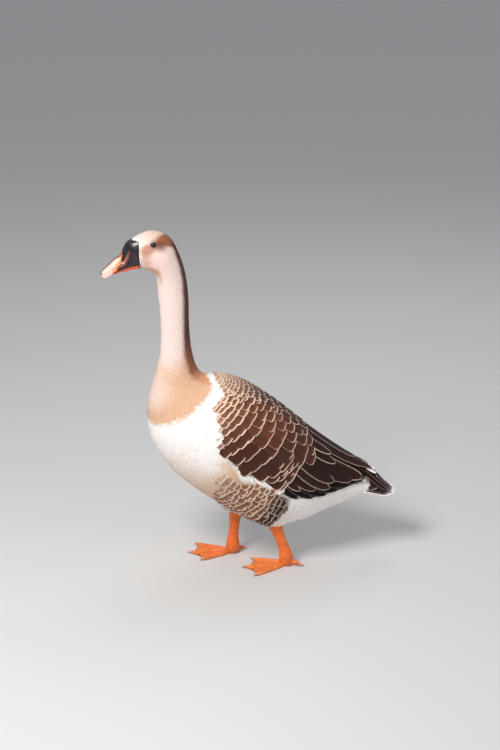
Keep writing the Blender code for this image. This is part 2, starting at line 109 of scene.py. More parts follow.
def along(rows, s):
    """The smooth track through numbered rows: each pair joined by a cubic whose slope at a
    row is half the step between that row's neighbours."""
    s = np.asarray(s, float)
    last = len(rows) - 1
    i = np.clip(np.floor(s).astype(int), 0, last - 1)
    t = (s - i)[..., None]
    before, start, end, after = (rows[np.clip(i + k, 0, last)] for k in (-1, 0, 1, 2))
    return (
        start * (2 * t**3 - 3 * t**2 + 1) + (end - before) / 2 * (t**3 - 2 * t**2 + t)
        + end * (3 * t**2 - 2 * t**3) + (after - start) / 2 * (t**3 - t**2)
    )


def loft(s, turn, side=0.0, rise=0.0):
    """The section's superellipse: out = (half + side) sin^(2/square), up = reach cos^(2/square),
    set on the slanting line from the belly point to the back point."""
    s, turn, side, rise = np.broadcast_arrays(s, turn, side, rise)
    rows = along(BODY, s)
    back, belly = rows[..., 0:2], rows[..., 2:4]
    half, widest, square = rows[..., 4], rows[..., 5], rows[..., 6]
    height = np.linalg.norm(back - belly, axis=-1)
    up = unit(back - belly)
    centre = belly + up * (height * widest)[..., None]
    sine, cosine = np.sin(np.radians(turn)), np.cos(np.radians(turn))
    out = np.sign(sine) * np.abs(sine) ** (2 / square) * (half + side)
    reach = np.where(cosine > 0, height * (1 - widest), height * widest) + rise
    lift = np.sign(cosine) * np.abs(cosine) ** (2 / square) * reach
    flat = centre + up * lift[..., None]
    return np.concatenate([out[..., None], flat], axis=-1) + PLACE


print("crown of the head at", np.round(loft(2.0, 0.0), 3))

# %% [markdown]
# The thighs and the folded wings swell the form. They could be shells of their own, but as
# swellings they leave one unbroken surface for the plumage. A thigh is a stack of level ovals,
# so the body's surface is pushed out along its own section until it has left them. A wing
# stands off by a width and a rise that change along the body, and only above its lower edge.

# %% The thighs and wings as swellings of the body
HIP = np.array([0.060, 0.008, 0.190])
HOCKS = ((1, (0.0540, 0.0185, 0.0900), 0.013),  # side, hock, how far ahead the thigh stands
         (-1, (-0.0340, -0.0435, 0.0900), 0.0))
THIGH = np.array([(-0.02, 0.020, 0.015), (0.06, 0.033, 0.022), (0.20, 0.041, 0.029),
                  (0.42, 0.045, 0.033), (0.66, 0.040, 0.030), (0.88, 0.026, 0.018),
                  (1.00, 0.008, 0.006)])  # share of the way up, half depth, half width
# section, stand-off at the side, rise over the back, lower edge and upper edge of the wing
WING = np.array([(11.35, 0.001, 0.001, 66, 46), (11.65, 0.004, 0.002, 91, 34),
                 (12.20, 0.007, 0.003, 97, 27), (13.00, 0.009, 0.004, 98, 19),
                 (14.00, 0.010, 0.006, 96, 10), (15.00, 0.011, 0.009, 93, 4),
                 (16.00, 0.012, 0.012, 81, 2), (16.90, 0.011, 0.013, 62, 2),
                 (17.45, 0.008, 0.012, 42, 4), (17.80, 0.004, 0.009, 26, 11),
                 (18.20, 0.000, 0.000, 20, 12)])


def thigh_bulge(s, turn, count=60):
    """The longest of count steps outwards from the body that still falls inside a thigh."""
    skin = loft(s, turn)
    middle = loft(s, 0.0 * turn) / 2 + loft(s, 0.0 * turn + 180) / 2
    ray = skin - middle
    steps = np.linspace(0, 0.5, count)
    points = skin[..., None, :] + ray[..., None, :] * steps[:, None]
    longest = np.zeros(skin.shape[:-1])
    for sign, hock, ahead in HOCKS:
        low, high = np.array(hock), HIP * (sign, 1, 1)
        share = (points[..., 2] - PLACE[2] - low[2]) / (high[2] - low[2])
        axis = PLACE + low + (high - low) * share[..., None]
        axis[..., 1] -= ahead * np.clip(share * 4, 0, 1)
        fore = np.interp(share, THIGH[:, 0], THIGH[:, 1])
        wide = np.interp(share, THIGH[:, 0], THIGH[:, 2])
        inside = ((points[..., 0] - axis[..., 0]) / wide) ** 2
        inside += ((points[..., 1] - axis[..., 1]) / fore) ** 2
        inside = (inside < 1) & (share > -0.02) & (share < 1)
        longest = np.maximum(longest, (inside * steps).max(-1))
    return ray * longest[..., None]


def wing_swell(s, turn):
    """The wing's stand-off and rise, fading below its lower edge and towards the backbone."""
    side, rise, low, high = (np.interp(s, WING[:, 0], WING[:, k]) for k in (1, 2, 3, 4))
    turn = np.abs(turn)
    across = (low - turn) / (low - high)
    lift = 0.35 + 0.65 * np.sin(np.clip(across * 2.2, 0, 1) * math.pi / 2)
    lift = np.where(across < 0, 0.35 * smooth(-0.10, 0.0, across), lift)
    groove = np.interp(s, (13.0, 14.5), (0.0, 0.8))
    lift *= (groove + (1 - groove) * smooth(0, 1, turn / high)) * smooth(11.2, 11.5, s)
    return side * lift, rise * lift


def trunk_form(s, turn):
    return loft(s, turn) + thigh_bulge(s, turn)


def feathered_form(s, turn):
    return loft(s, turn, *wing_swell(s, turn)) + thigh_bulge(s, turn)


print("a folded wing stands off by up to", WING[:, 1].max(), "m")

# %% [markdown]
# The form could be worked out anew for each point of each feather. It is sampled once instead,
# on a fine grid, with its outward direction and its two slopes. Every skin point and feather
# then reads the grid, which is quick enough for a million corners.

# %% Sample a form, and read it anywhere
FORM_SAMPLES = (369, 305)  # along the body and round it


def sampled(shape, first, second, counts):
    """Points of shape(p, q) on a grid, with the unit normal and both slopes at each point."""
    p = np.linspace(*first, counts[0])
    q = np.linspace(*second, counts[1])
    points = shape(*np.meshgrid(p, q, indexing="ij"))
    by_p, by_q = np.gradient(points, p, axis=0), np.gradient(points, q, axis=1)
    normals = unit(np.cross(by_q, by_p))
    return {"p": first, "q": second, "grid": np.concatenate([points, normals, by_p, by_q], -1)}


def read(form, p, q):
    """Point, normal and slopes at any (p, q), weighed between the four nearest samples."""
    grid = form["grid"]
    u = (p - form["p"][0]) / (form["p"][1] - form["p"][0]) * (grid.shape[0] - 1)
    v = (q - form["q"][0]) / (form["q"][1] - form["q"][0]) * (grid.shape[1] - 1)
    u, v = np.clip(u, 0, grid.shape[0] - 1.001), np.clip(v, 0, grid.shape[1] - 1.001)
    i, j = u.astype(int), v.astype(int)
    a, b = (u - i)[..., None], (v - j)[..., None]
    value = (grid[i, j] * (1 - a) + grid[i + 1, j] * a) * (1 - b)
    value += (grid[i, j + 1] * (1 - a) + grid[i + 1, j + 1] * a) * b
    return value[..., 0:3], value[..., 3:6], value[..., 6:9], value[..., 9:12]


TRUNK, COAT = (sampled(form, (0.0, BODY_END), (-190.0, 190.0), FORM_SAMPLES)
               for form in (trunk_form, feathered_form))
print("form sampled at", COAT["grid"].shape[:2], "places")

# %% [markdown]
# Meshes are filled straight from arrays. Blender's own modelling steps could build them too,
# but they would be slow for thousands of feathers. A shell is a grid that closes round its
# columns and ends in a pole at each end. It serves for the skin, the bill, legs and claws.

# %% Fill a mesh from arrays
def piece(name, points, faces, maps, values, material, flat=None, normals=None):
    """faces: arrays of corners, one row per face. maps: a UV pair per corner, in face order.
    values: a number or a colour per point. flat: True for faces that aren't smoothed.
    normals: a direction per point that the light sees in place of the faces' own."""
    mesh = bpy.data.meshes.new(name)
    mesh.vertices.add(len(points))
    mesh.vertices.foreach_set("co", np.ascontiguousarray(points, dtype=np.float32).ravel())
    corners = np.concatenate([face.ravel() for face in faces])
    sizes = np.concatenate([np.full(len(face), face.shape[1]) for face in faces])
    mesh.loops.add(len(corners))
    mesh.loops.foreach_set("vertex_index", corners.astype(np.int32))
    mesh.polygons.add(len(sizes))
    mesh.polygons.foreach_set("loop_start", np.concatenate([[0], np.cumsum(sizes)[:-1]]))
    mesh.update(calc_edges=True)
    smoothed = np.ones(len(sizes), bool) if flat is None else ~flat
    mesh.polygons.foreach_set("use_smooth", smoothed)
    for map_name, pairs in maps.items():
        layer = mesh.uv_layers.new(name=map_name)
        layer.data.foreach_set("uv", pairs.astype(np.float32).ravel())
    for value_name, data in values.items():
        colour = data.ndim == 2
        kind = "FLOAT_COLOR" if colour else "FLOAT"
        if colour:
            data = np.concatenate([data, np.ones((len(data), 1))], axis=1)
        layer = mesh.attributes.new(value_name, kind, "POINT")
        layer.data.foreach_set("color" if colour else "value", data.astype(np.float32).ravel())
    if normals is not None:
        mesh.normals_split_custom_set_from_vertices(normals.reshape(-1, 3).tolist())
    made = bpy.data.objects.new(name, mesh)
    bpy.context.scene.collection.objects.link(made)
    mesh.materials.append(material)
    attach(made, "root")
    return made


def closed_tube(points, values=None):
    """A grid of points (rows, columns, 3) closed round its columns and fanned shut at both
    ends: the corners of its faces, their places on the flattened grid, and its values."""
    rows, columns = points.shape[:2]
    i, j = np.meshgrid(np.arange(rows - 1), np.arange(columns), indexing="ij")
    cell = np.stack([i, j], -1)[:, :, None] + np.array([(0, 0), (0, 1), (1, 1), (1, 0)])
    quads = (cell[..., 0] * columns + cell[..., 1] % columns).reshape(-1, 4)
    ring = np.arange(columns)
    after = (ring + 1) % columns
    pole, low = rows * columns, (rows - 1) * columns
    fans = np.concatenate([np.stack([0 * ring + pole, after, ring], -1),
                           np.stack([0 * ring + pole + 1, low + ring, low + after], -1)])
    fan_turn = np.concatenate([np.stack([ring + 0.5, ring + 1, ring], -1),
                               np.stack([ring + 0.5, ring, ring + 1], -1)])
    fan_row = np.repeat([0, rows - 1], columns)[:, None] + 0 * fan_turn
    uv = np.concatenate([cell.reshape(-1, 2), np.stack([fan_row, fan_turn], -1).reshape(-1, 2)])
    flat = {"points": np.concatenate([points.reshape(-1, 3), points[[0, -1]].mean(1)]),
            "quads": quads, "fans": fans, "quad_uv": uv[: quads.size] / (rows - 1, columns),
            "fan_uv": uv[quads.size:] / (rows - 1, columns), "values": {}}
    for key, data in (values or {}).items():
        data = data.reshape(rows, columns, -1)
        data = np.concatenate([data.reshape(rows * columns, -1), data[[0, -1]].mean(1)])
        flat["values"][key] = data[:, 0] if data.shape[1] == 1 else data
    return flat


def assembled(name, tubes, finish):
    """Several closed tubes as one piece, each with its own square of the flat map."""
    across = math.ceil(math.sqrt(len(tubes)))
    start, quads, fans, quad_uv, fan_uv = 0, [], [], [], []
    for k, tube in enumerate(tubes):
        corner = np.array([k % across, k // across]) + 0.02
        quads.append(tube["quads"] + start)
        fans.append(tube["fans"] + start)
        quad_uv.append((tube["quad_uv"] * 0.96 + corner) / across)
        fan_uv.append((tube["fan_uv"] * 0.96 + corner) / across)
        start += len(tube["points"])
    values = {key: np.concatenate([tube["values"][key] for tube in tubes])
              for key in tubes[0]["values"]}
    made = piece(name, np.concatenate([tube["points"] for tube in tubes]),
                 [np.concatenate(quads), np.concatenate(fans)],
                 {"OFBake": np.concatenate(quad_uv + fan_uv)}, values, finish)
    return made


print("a tube of 3 by 4 points has", len(closed_tube(np.zeros((3, 4, 3)))["fans"]), "end faces")

# %% [markdown]
# Colour first. The goose is pied: a cream head and neck with a brown stripe down the hind
# neck, a buff collar, white breast and belly, brown mantle and wings with pale feather edges,
# and tan to dark flanks. A painted picture could be wrapped round the bird, but a rule for
# each region keeps its border crisp from close by. The skin and each small feather take their
# colour from the same rule, so where a feather parts from its neighbours the skin below
# carries on the pattern.

# %% The colours, and the borders between them
def paint(red, green, blue):
    """A given colour, as the light amounts that the shader mixes."""
    value = np.array([red, green, blue]) / 255
    return np.where(value <= 0.04045, value / 12.92, ((value + 0.055) / 1.055) ** 2.4)


CREAM = paint(233, 206, 196)
PALE = paint(237, 217, 210)
WHITE = paint(242, 238, 235)
BUFF = paint(208, 163, 124)
ORANGE_BROWN = paint(138, 78, 44)
DARK_BROWN = paint(76, 33, 11)
WING_BROWN = paint(112, 68, 48)
WING_DARK = paint(56, 31, 24)
FRINGE = paint(232, 200, 176)

# the first four give a section for each turn, and the last two a turn for each section
BLACK_REAR = ((0, 16, 24, 32, 45, 67, 85, 105, 125, 180),
              (0.20, 0.24, 0.44, 0.68, 0.80, 0.60, 0.32, 0.10, 0.0, 0.0))
COLLAR = ((0, 20, 30, 50, 70, 90, 115, 135, 180),
          (9.7, 9.9, 10.25, 10.4, 10.5, 10.5, 10.4, 10.3, 10.1))
MANTLE = ((0, 27, 36, 50, 62, 68, 75, 85, 97),
          (10.55, 10.9, 11.15, 11.2, 11.1, 11.33, 11.64, 11.86, 11.96))
FLANK_REAR = ((100, 110, 124, 135, 160), (14.15, 14.28, 14.24, 14.15, 14.05))
STRIPE = ((3.2, 3.8, 4.2, 4.6, 5.0, 5.4, 5.8, 6.4, 7.2, 7.8, 8.3, 8.8, 9.4, 10.0),
          (36, 42, 45, 46, 48, 51, 55, 58, 61, 63, 63, 58, 50, 38))
WING_EDGE = ((11.35, 11.65, 11.9, 12.2, 12.6, 13.0, 13.25, 13.5, 13.75, 14.0, 14.3, 15.0, 16.0,
              16.9, 17.45, 17.8),
             (66, 78, 89, 95, 97, 96, 92, 89, 87, 87, 91, 91, 78, 60, 40, 24))


def over(colour, other, mask):
    """The other colour laid over the first where the mask is 1."""
    return colour + (other - colour) * mask[..., None]


def patch(s, turn, centre, size, soft=0.5):
    """An oval patch with a soft rim: 1 inside, 0 outside."""
    away = np.hypot((s - centre[0]) / size[0], (turn - centre[1]) / size[1])
    return 1 - smooth(1 - soft, 1 + soft, away)


def ripple(s, turn, scale=1.0):
    """A gentle waver for borders, a sum of three sines."""
    return (np.sin(s * 7.1 * scale + turn * 0.13) + np.sin(s * 3.3 * scale - turn * 0.21 + 1)
            + np.sin(s * 11.7 * scale + turn * 0.31 + 2)) / 3


print("the breast's white, as mixed:", np.round(WHITE, 2))

# %% [markdown]
# The face has a tan crown and a white band behind the bill's black base, with brown between
# eye and bill, and tan along the jaw that is partly the chin's own buff and partly painted shade.
# A brown cap starts at the eye and narrows into the stripe of the hind neck, which fades to buff
# at the collar. Each marking is a soft mask laid over those before it, so one can be moved
# without touching the rest.

# %% Markings of the head and neck
def face_markings(colour, s, turn, wave):
    """Crown, black border, white band, lore and jaw, each laid over the ones before. The jaw's
    tan is partly the chin's own buff and partly painted shade under the head.
    """
    crown = (1 - smooth(35, 60, turn)) * (1 - smooth(3.0, 3.6, s))
    colour = over(colour, paint(208, 180, 166), crown * (0.25 + 0.75 * smooth(0.9, 2.2, s)))
    behind = s - np.interp(turn, *BLACK_REAR)
    colour = over(colour, paint(30, 22, 28), 1 - smooth(-0.02, 0.02, behind))
    band = (1 - smooth(0.18, 0.42, behind + 0.04 * wave)) * smooth(0.0, 0.03, behind)
    colour = over(colour, paint(250, 240, 232), band * (1 - smooth(128, 150, turn)))
    lore = (patch(s, turn, (1.12, 78), (0.50, 15), 0.8)
            + patch(s, turn, (1.62, 71), (0.42, 11), 0.8))
    colour = over(colour, paint(162, 104, 70), np.clip(lore, 0, 1) * 0.72)
    # The jaw's tan: partly the chin's own buff, partly painted shade under the head.
    jaw = np.maximum(patch(s, turn, (2.0, 138), (1.7, 13), 0.6),
                     0.8 * patch(s, turn, (0.95, 106), (0.55, 17), 0.9))
    return over(colour, paint(182, 134, 104), jaw * 0.65)


def neck_markings(colour, s, turn, wave):
    """Cap, stripe with its soft sides, brow, and the buff of the lower neck."""
    lower = np.interp(s, (2.0, 2.3, 2.7, 3.1, 3.6), (64, 62, 57, 44, 26))
    upper = np.interp(s, (2.0, 2.2, 2.5, 2.8), (56, 44, 24, -8))
    cap = smooth(-6, 6, lower - turn + 3 * wave) * smooth(-22, 10, turn - upper + 3 * wave)
    cap *= smooth(1.75, 2.3, s) * (1 - smooth(3.5, 3.9, s))
    cap_colour = over(paint(130, 72, 40), DARK_BROWN, smooth(2.9, 3.5, s) * 0.75)
    colour = over(colour, cap_colour, cap * 0.92)
    half = np.interp(s, *STRIPE)
    stripe = smooth(-13, 12, half - turn + 3 * wave) * smooth(3.1, 3.5, s)
    brown = over(DARK_BROWN, ORANGE_BROWN, smooth(7.0, 8.6, s))
    brown = over(brown, paint(206, 146, 104), smooth(8.6, 9.6, s))
    colour = over(colour, brown, stripe * 0.95)
    soft_side = smooth(-26, 6, half - turn) * smooth(6.6, 8.2, s) * (1 - stripe)
    colour = over(colour, paint(214, 160, 122), soft_side * 0.55)
    brow = patch(s, turn, (2.24, 60), (0.56, 14), 0.7)
    colour = over(colour, paint(112, 62, 38), brow * 0.85)
    low_neck = smooth(7.6, 9.0, s + 0.1 * wave) * (1 - stripe)
    front = patch(s, turn, (9.2, 165), (0.6, 50), 0.7)
    return over(colour, BUFF, low_neck * (0.85 - 0.6 * front))


print("half the nape's stripe:", np.interp(4.2, *STRIPE), "degrees")

# %% [markdown]
# Behind the collar all is white, with the brown of mantle and wing above and the flank below.
# The flank is pale tan in front, and gets darker towards its rear border.

# %% Markings of the trunk, and the whole rule
def trunk_markings(colour, s, turn, wave):
    """White, painted shade low on the breast and belly, the mantle and wing, and the flank."""
    colour = over(colour, WHITE, smooth(-0.09, 0.15, s - np.interp(turn, *COLLAR) + 0.03 * wave))
    # Painted shade: a darker cream low on the breast and belly, where the underside is shaded.
    painted_underside_shade = smooth(10.8, 12.4, s) * smooth(104, 146, turn) * (1 - smooth(14.0, 15.0, s))
    colour = over(colour, paint(226, 200, 180), painted_underside_shade * 0.75)
    tail_side = smooth(17.25, 17.45, s) * smooth(18, 26, turn) * (1 - smooth(91, 97, turn))
    colour = over(colour, paint(62, 42, 38), tail_side)
    wing = smooth(-0.04, 0.16, s - np.interp(turn, *MANTLE) + 0.05 * wave)
    wing *= smooth(-3, 1, np.interp(s, *WING_EDGE) - turn) * (1 - smooth(17.7, 18.0, s))
    colour = over(colour, over(WING_BROWN, WING_DARK, smooth(12.5, 14.5, s)), wing)
    top = np.interp(s, (12.2, 12.6, 12.9, 13.2, 13.5), (96, 99, 105, 100, 96))
    flank = smooth(12.0, 12.7, s + 0.1 * wave) * smooth(-2, 4, turn - top)
    flank *= 1 - smooth(155, 166, turn)
    flank *= 1 - smooth(-0.05, 0.08, s - np.interp(turn, *FLANK_REAR))
    shade = over(paint(214, 182, 156), paint(120, 84, 66), smooth(12.6, 13.6, s))
    shade = over(shade, paint(60, 42, 36), smooth(13.8, 14.4, s - (turn - 110) * 0.008))
    return over(colour, shade, flank)


def markings(s, turn):
    """The colour of the plumage at a section and turn, blended region over region. The waver
    differs on the two sides, and the regions don't."""
    wave = ripple(s, turn)
    mottle = ripple(s * 1.9, turn * 1.6 + 8 * np.sin(s * 2.3), 1.3)
    turn = np.abs(turn)
    colour = over(CREAM, paint(230, 209, 202), smooth(3.0, 4.5, s))
    colour = over(colour, PALE, smooth(100, 150, turn) * smooth(3.5, 5.0, s) * 0.6)
    colour = colour * (1 + 0.05 * mottle * smooth(3.2, 4.5, s))[..., None]
    for region in (face_markings, neck_markings, trunk_markings):
        colour = region(colour, s, turn, wave)
    return colour


print("breast colour", np.round(markings(np.array(11.0), np.array(120.0)), 2))

# %% [markdown]
# Materials come next, as small node trees that a few helpers build. Two effects are used in
# more than one of them, so each is a node group. A feather's web is a comb of fine barbs that
# slant from the shaft to the edge: its group takes the feather's own map (across the web, along
# the shaft), and puts out the barbs' relief and a soft streaking. Skin and horn are mottled:
# that group takes a place, and puts out an uneven height and a shade for the paint.

# %% Node helpers
def material(name, roughness, sheen=0.0, coat=0.0, specular=0.5):
    """A Principled material whose constant values sit on the shader's own sockets."""
    made = bpy.data.materials.new(name)
    made.use_nodes = True
    shader = made.node_tree.nodes["Principled BSDF"]
    shader.inputs["Roughness"].default_value = roughness
    shader.inputs["Sheen Weight"].default_value = sheen
    shader.inputs["Coat Weight"].default_value = coat
    shader.inputs["Coat Roughness"].default_value = 0.08
    shader.inputs["Specular IOR Level"].default_value = specular
    return made, made.node_tree, shader


def node(tree, kind, inputs=(), **settings):
    """Add a node, set its options, and feed each input with a value or another node's output."""
    made = tree.nodes.new(kind)
    for key, value in settings.items():
        setattr(made, key, value)
    for key, value in dict(inputs).items():
        if isinstance(value, bpy.types.NodeSocket):
            tree.links.new(value, made.inputs[key])
        else:
            made.inputs[key].default_value = value
    return made


def maths(tree, operation, first, second=0.5, third=0.0):
    made = node(tree, "ShaderNodeMath", {0: first, 1: second, 2: third}, operation=operation)
    return made.outputs[0]


def ranged(tree, value, low, high, start, end):
    """start where the value is low, end where it is high, even between them, held outside."""
    made = node(tree, "ShaderNodeMapRange", {0: value, 1: low, 2: high, 3: start, 4: end})
    return made.outputs[0]


def mix(tree, factor, first, second, blend="MIX"):
    made = node(tree, "ShaderNodeMix", {0: factor, 6: first, 7: second}, data_type="RGBA",
                blend_type=blend)
    return made.outputs[2]


def shaded(tree, colour, value):
    """The colour times a value."""
    grey = node(tree, "ShaderNodeCombineXYZ", {0: value, 1: value, 2: value})
    return mix(tree, 1.0, colour, grey.outputs[0], "MULTIPLY")


def attribute(tree, name, output="Color"):
    return node(tree, "ShaderNodeAttribute", attribute_name=name).outputs[output]


def object_place(tree):
    return node(tree, "ShaderNodeTexCoord").outputs["Object"]


def bump(tree, shader, height, strength, distance):
    made = node(tree, "ShaderNodeBump", {"Height": height, "Strength": strength,
                                         "Distance": distance})
    tree.links.new(made.outputs[0], shader.inputs["Normal"])


print("helpers:", [helper.__name__ for helper in (node, maths, ranged, mix, shaded, bump)])

# %% [markdown]
# Both groups are built once, and every material that uses one sets its own values on it. They
# put out only numbers that change over the surface, and each shader stays in its own material.

# %% The two shared groups
NOISE_LOW, NOISE_HIGH = 0.3, 0.7  # most of a noise lies between these


def new_group(name, takes, gives):
    """An empty node group with its inner ends. A Place is a vector, and the rest are numbers."""
    tree = bpy.data.node_groups.new(name, "ShaderNodeTree")
    for direction, labels in (("INPUT", takes), ("OUTPUT", gives)):
        for label in labels:
            kind = "NodeSocketVector" if label == "Place" else "NodeSocketFloat"
            tree.interface.new_socket(label, in_out=direction, socket_type=kind)
    given, result = tree.nodes.new("NodeGroupInput"), tree.nodes.new("NodeGroupOutput")
    return tree, given.outputs, result.inputs


def barb_group(slant=-0.55, shaft_half=0.02, stretch=9.0):
    """Relief = half the sine of barbs x (along + slant x distance from the shaft), plus 1 on
    the shaft. Streak = noise that is stretched along the barbs."""
    tree, given, result = new_group("feather barbs", ("Across", "Along", "Barbs"),
                                    ("Relief", "Streak"))
    aside = maths(tree, "ABSOLUTE", maths(tree, "SUBTRACT", given["Across"], 0.5))
    slanted = maths(tree, "MULTIPLY_ADD", aside, slant, given["Along"])
    wave = maths(tree, "SINE", maths(tree, "MULTIPLY", slanted, given["Barbs"]))
    shaft = maths(tree, "LESS_THAN", aside, shaft_half)
    relief = maths(tree, "ADD", maths(tree, "MULTIPLY", wave, 0.5), shaft)
    place = node(tree, "ShaderNodeCombineXYZ",
                 {0: aside, 1: maths(tree, "MULTIPLY", slanted, stretch)})
    noise = node(tree, "ShaderNodeTexNoise", {"Vector": place.outputs[0], "Scale": 3.0,
                                              "Detail": 3.0})
    tree.links.new(relief, result["Relief"])
    tree.links.new(noise.outputs["Fac"], result["Streak"])
    return tree


def mottle_group():
    """Height = noise at the place. Shade = that noise, ranged from Dark to Light."""
    tree, given, result = new_group("mottling", ("Place", "Scale", "Detail", "Dark", "Light"),
                                    ("Height", "Shade"))
    noise = node(tree, "ShaderNodeTexNoise", {key: given[label] for key, label in (
        ("Vector", "Place"), ("Scale", "Scale"), ("Detail", "Detail"))})
    shade = ranged(tree, noise.outputs["Fac"], NOISE_LOW, NOISE_HIGH, given["Dark"],
                   given["Light"])
    tree.links.new(noise.outputs["Fac"], result["Height"])
    tree.links.new(shade, result["Shade"])
    return tree


BARBS, MOTTLING = barb_group(), mottle_group()


def barbs(tree, count):
    """The barb group fed by the feather's own map, and the map's two parts."""
    web = node(tree, "ShaderNodeUVMap", uv_map="web").outputs[0]
    split = node(tree, "ShaderNodeSeparateXYZ", {0: web}).outputs
    used = node(tree, "ShaderNodeGroup", node_tree=BARBS)
    tree.links.new(split[0], used.inputs["Across"])
    tree.links.new(split[1], used.inputs["Along"])
    used.inputs["Barbs"].default_value = count
    return used.outputs, split


def mottled(tree, scale, detail, dark, light):
    """The mottling group on the object's own coordinates."""
    used = node(tree, "ShaderNodeGroup", node_tree=MOTTLING)
    tree.links.new(object_place(tree), used.inputs["Place"])
    for label, value in (("Scale", scale), ("Detail", detail), ("Dark", dark), ("Light", light)):
        used.inputs[label].default_value = value
    return used.outputs


print("node groups:", BARBS.name, "and", MOTTLING.name)

# %% [markdown]
# Small body feathers are plain: one tint each, with painted shade towards the root, where the web
# dips under its neighbours, and a little lighter at the loose tip. Large feathers carry a pale
# fringe, a darker shaft and streaks, so their material also reads how far each point is from the
# feather's rim: a paler band inside the fringe, and painted shade deeper in, where the row in
# front covers the web. A painted map for each feather could hold all that, but a few nodes stay
# sharp from close by.
# The skin only shows between feathers, as mottled down of the same tint.

# %% The finishes of the feathers and the skin
def small_feather_material(name):
    made, tree, shader = material(name, 0.8, sheen=0.04, specular=0.18)
    used, web = barbs(tree, 60.0)
    # Painted shade: darker at the root, under the neighbours, a little lighter at the tip.
    painted_root_shade = ranged(tree, web[1], 0.1, 0.9, 0.93, 1.02)
    streak = ranged(tree, used["Streak"], NOISE_LOW, NOISE_HIGH, 0.95, 1.03)
    value = maths(tree, "MULTIPLY", painted_root_shade, streak)
    colour = shaded(tree, attribute(tree, "tint"), value)
    tree.links.new(colour, shader.inputs["Base Color"])
    bump(tree, shader, used["Relief"], 0.2, 0.00015)
    return made


def large_feather_material(name, fringe_width, count=150.0, roughness=0.5, specular=0.22):
    """Fringe where the rim is nearer than fringe_width, worn ragged by noise along it."""
    made, tree, shader = material(name, roughness, specular=specular)
    used, web = barbs(tree, count)
    rim = attribute(tree, "rim", "Fac")
    rough = node(tree, "ShaderNodeTexNoise", {"Vector": object_place(tree), "Scale": 260.0,
                                              "Detail": 2.0})
    ragged = maths(tree, "MULTIPLY_ADD", rough.outputs["Fac"], -0.0012, rim)
    fringe = ranged(tree, ragged, fringe_width * 0.55, fringe_width * 0.92, 1.0, 0.0)
    # Painted shade deeper in, under the row in front, with a paler band inside the fringe.
    inner = ranged(tree, rim, 0.002, 0.012, 1.30, 0.78)
    streak = ranged(tree, used["Streak"], NOISE_LOW, NOISE_HIGH, 0.80, 1.22)
    colour = shaded(tree, attribute(tree, "tint"), maths(tree, "MULTIPLY", inner, streak))
    aside = maths(tree, "ABSOLUTE", maths(tree, "SUBTRACT", web[0], 0.5))
    shaft = ranged(tree, aside, 0.012, 0.03, 0.55, 0.0)
    colour = mix(tree, shaft, colour, (0.030, 0.016, 0.012, 1))
    colour = mix(tree, fringe, colour, attribute(tree, "fringe"))
    tree.links.new(colour, shader.inputs["Base Color"])
    bump(tree, shader, used["Relief"], 0.35, 0.0003)
    return made


def skin_material():
    made, tree, shader = material("skin under the plumage", 0.85)
    down = mottled(tree, 420.0, 3.0, 0.86, 1.0)
    colour = shaded(tree, attribute(tree, "tint"), down["Shade"])
    tree.links.new(colour, shader.inputs["Base Color"])
    bump(tree, shader, down["Height"], 0.5, 0.0006)
    return made


SMALL = small_feather_material("small feathers")
LARGE = large_feather_material("large feathers", 0.0031)
SCALED = large_feather_material("scaly mantle feathers", 0.0030, 90.0, 0.6)
THIN = large_feather_material("tertial feathers", 0.0016, 150.0, 0.55, 0.12)
DARK = large_feather_material("flight feathers", 0.0014, 180.0, 0.55, 0.08)
TAIL = large_feather_material("tail feathers", 0.0100)
SKIN = skin_material()
print("finishes:", [made.name for made in (SMALL, LARGE, SCALED, THIN, DARK, TAIL, SKIN)])

# %% [markdown]
# The skin is the trunk's form drawn in by the depth of the coat: under 1 mm on the face, where
# the feathers are like velvet, and 2 mm on the body. It could be one shell for each part of
# the body. One shell over the whole bird has no seam between head, neck, trunk and thighs.

# %% The skin
def coat_depth(s):
    return np.interp(s, (0, 1, 4.4, 8, 11, 17, 18.4),
                     (0.0004, 0.0004, 0.0006, 0.0010, 0.0018, 0.0018, 0.0015))


SKIN_ROWS, SKIN_COLUMNS = 231, 96
grid_s, grid_turn = np.meshgrid(np.linspace(0, BODY_END - 0.05, SKIN_ROWS),
                                np.arange(SKIN_COLUMNS) * (360 / SKIN_COLUMNS) - 180,
                                indexing="ij")
point, normal, _, _ = read(TRUNK, grid_s, grid_turn)
bare = closed_tube(point - normal * coat_depth(grid_s)[..., None],
                   {"tint": markings(grid_s, grid_turn)})
skin = assembled("skin", [bare], SKIN)
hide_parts("head", "neck_upper", "neck_lower", "trunk", "rump", "thigh_left",
            "thigh_right")
print("skin:", len(skin.data.polygons), "faces")

# %% [markdown]
# Every feather, from the eye's rim to the tail, is made by one rule. Its midline runs from a
# root to a tip on the body's form, and its web spreads to each side of that line, so it bends
# with the body. The root is sunk and the tip is lifted, so each feather covers the roots behind
# it, like slates on a roof. A shallow keel below closes it, and makes it a thin solid. Hair
# strands could stand in for plumage, but real pieces keep their own shape.

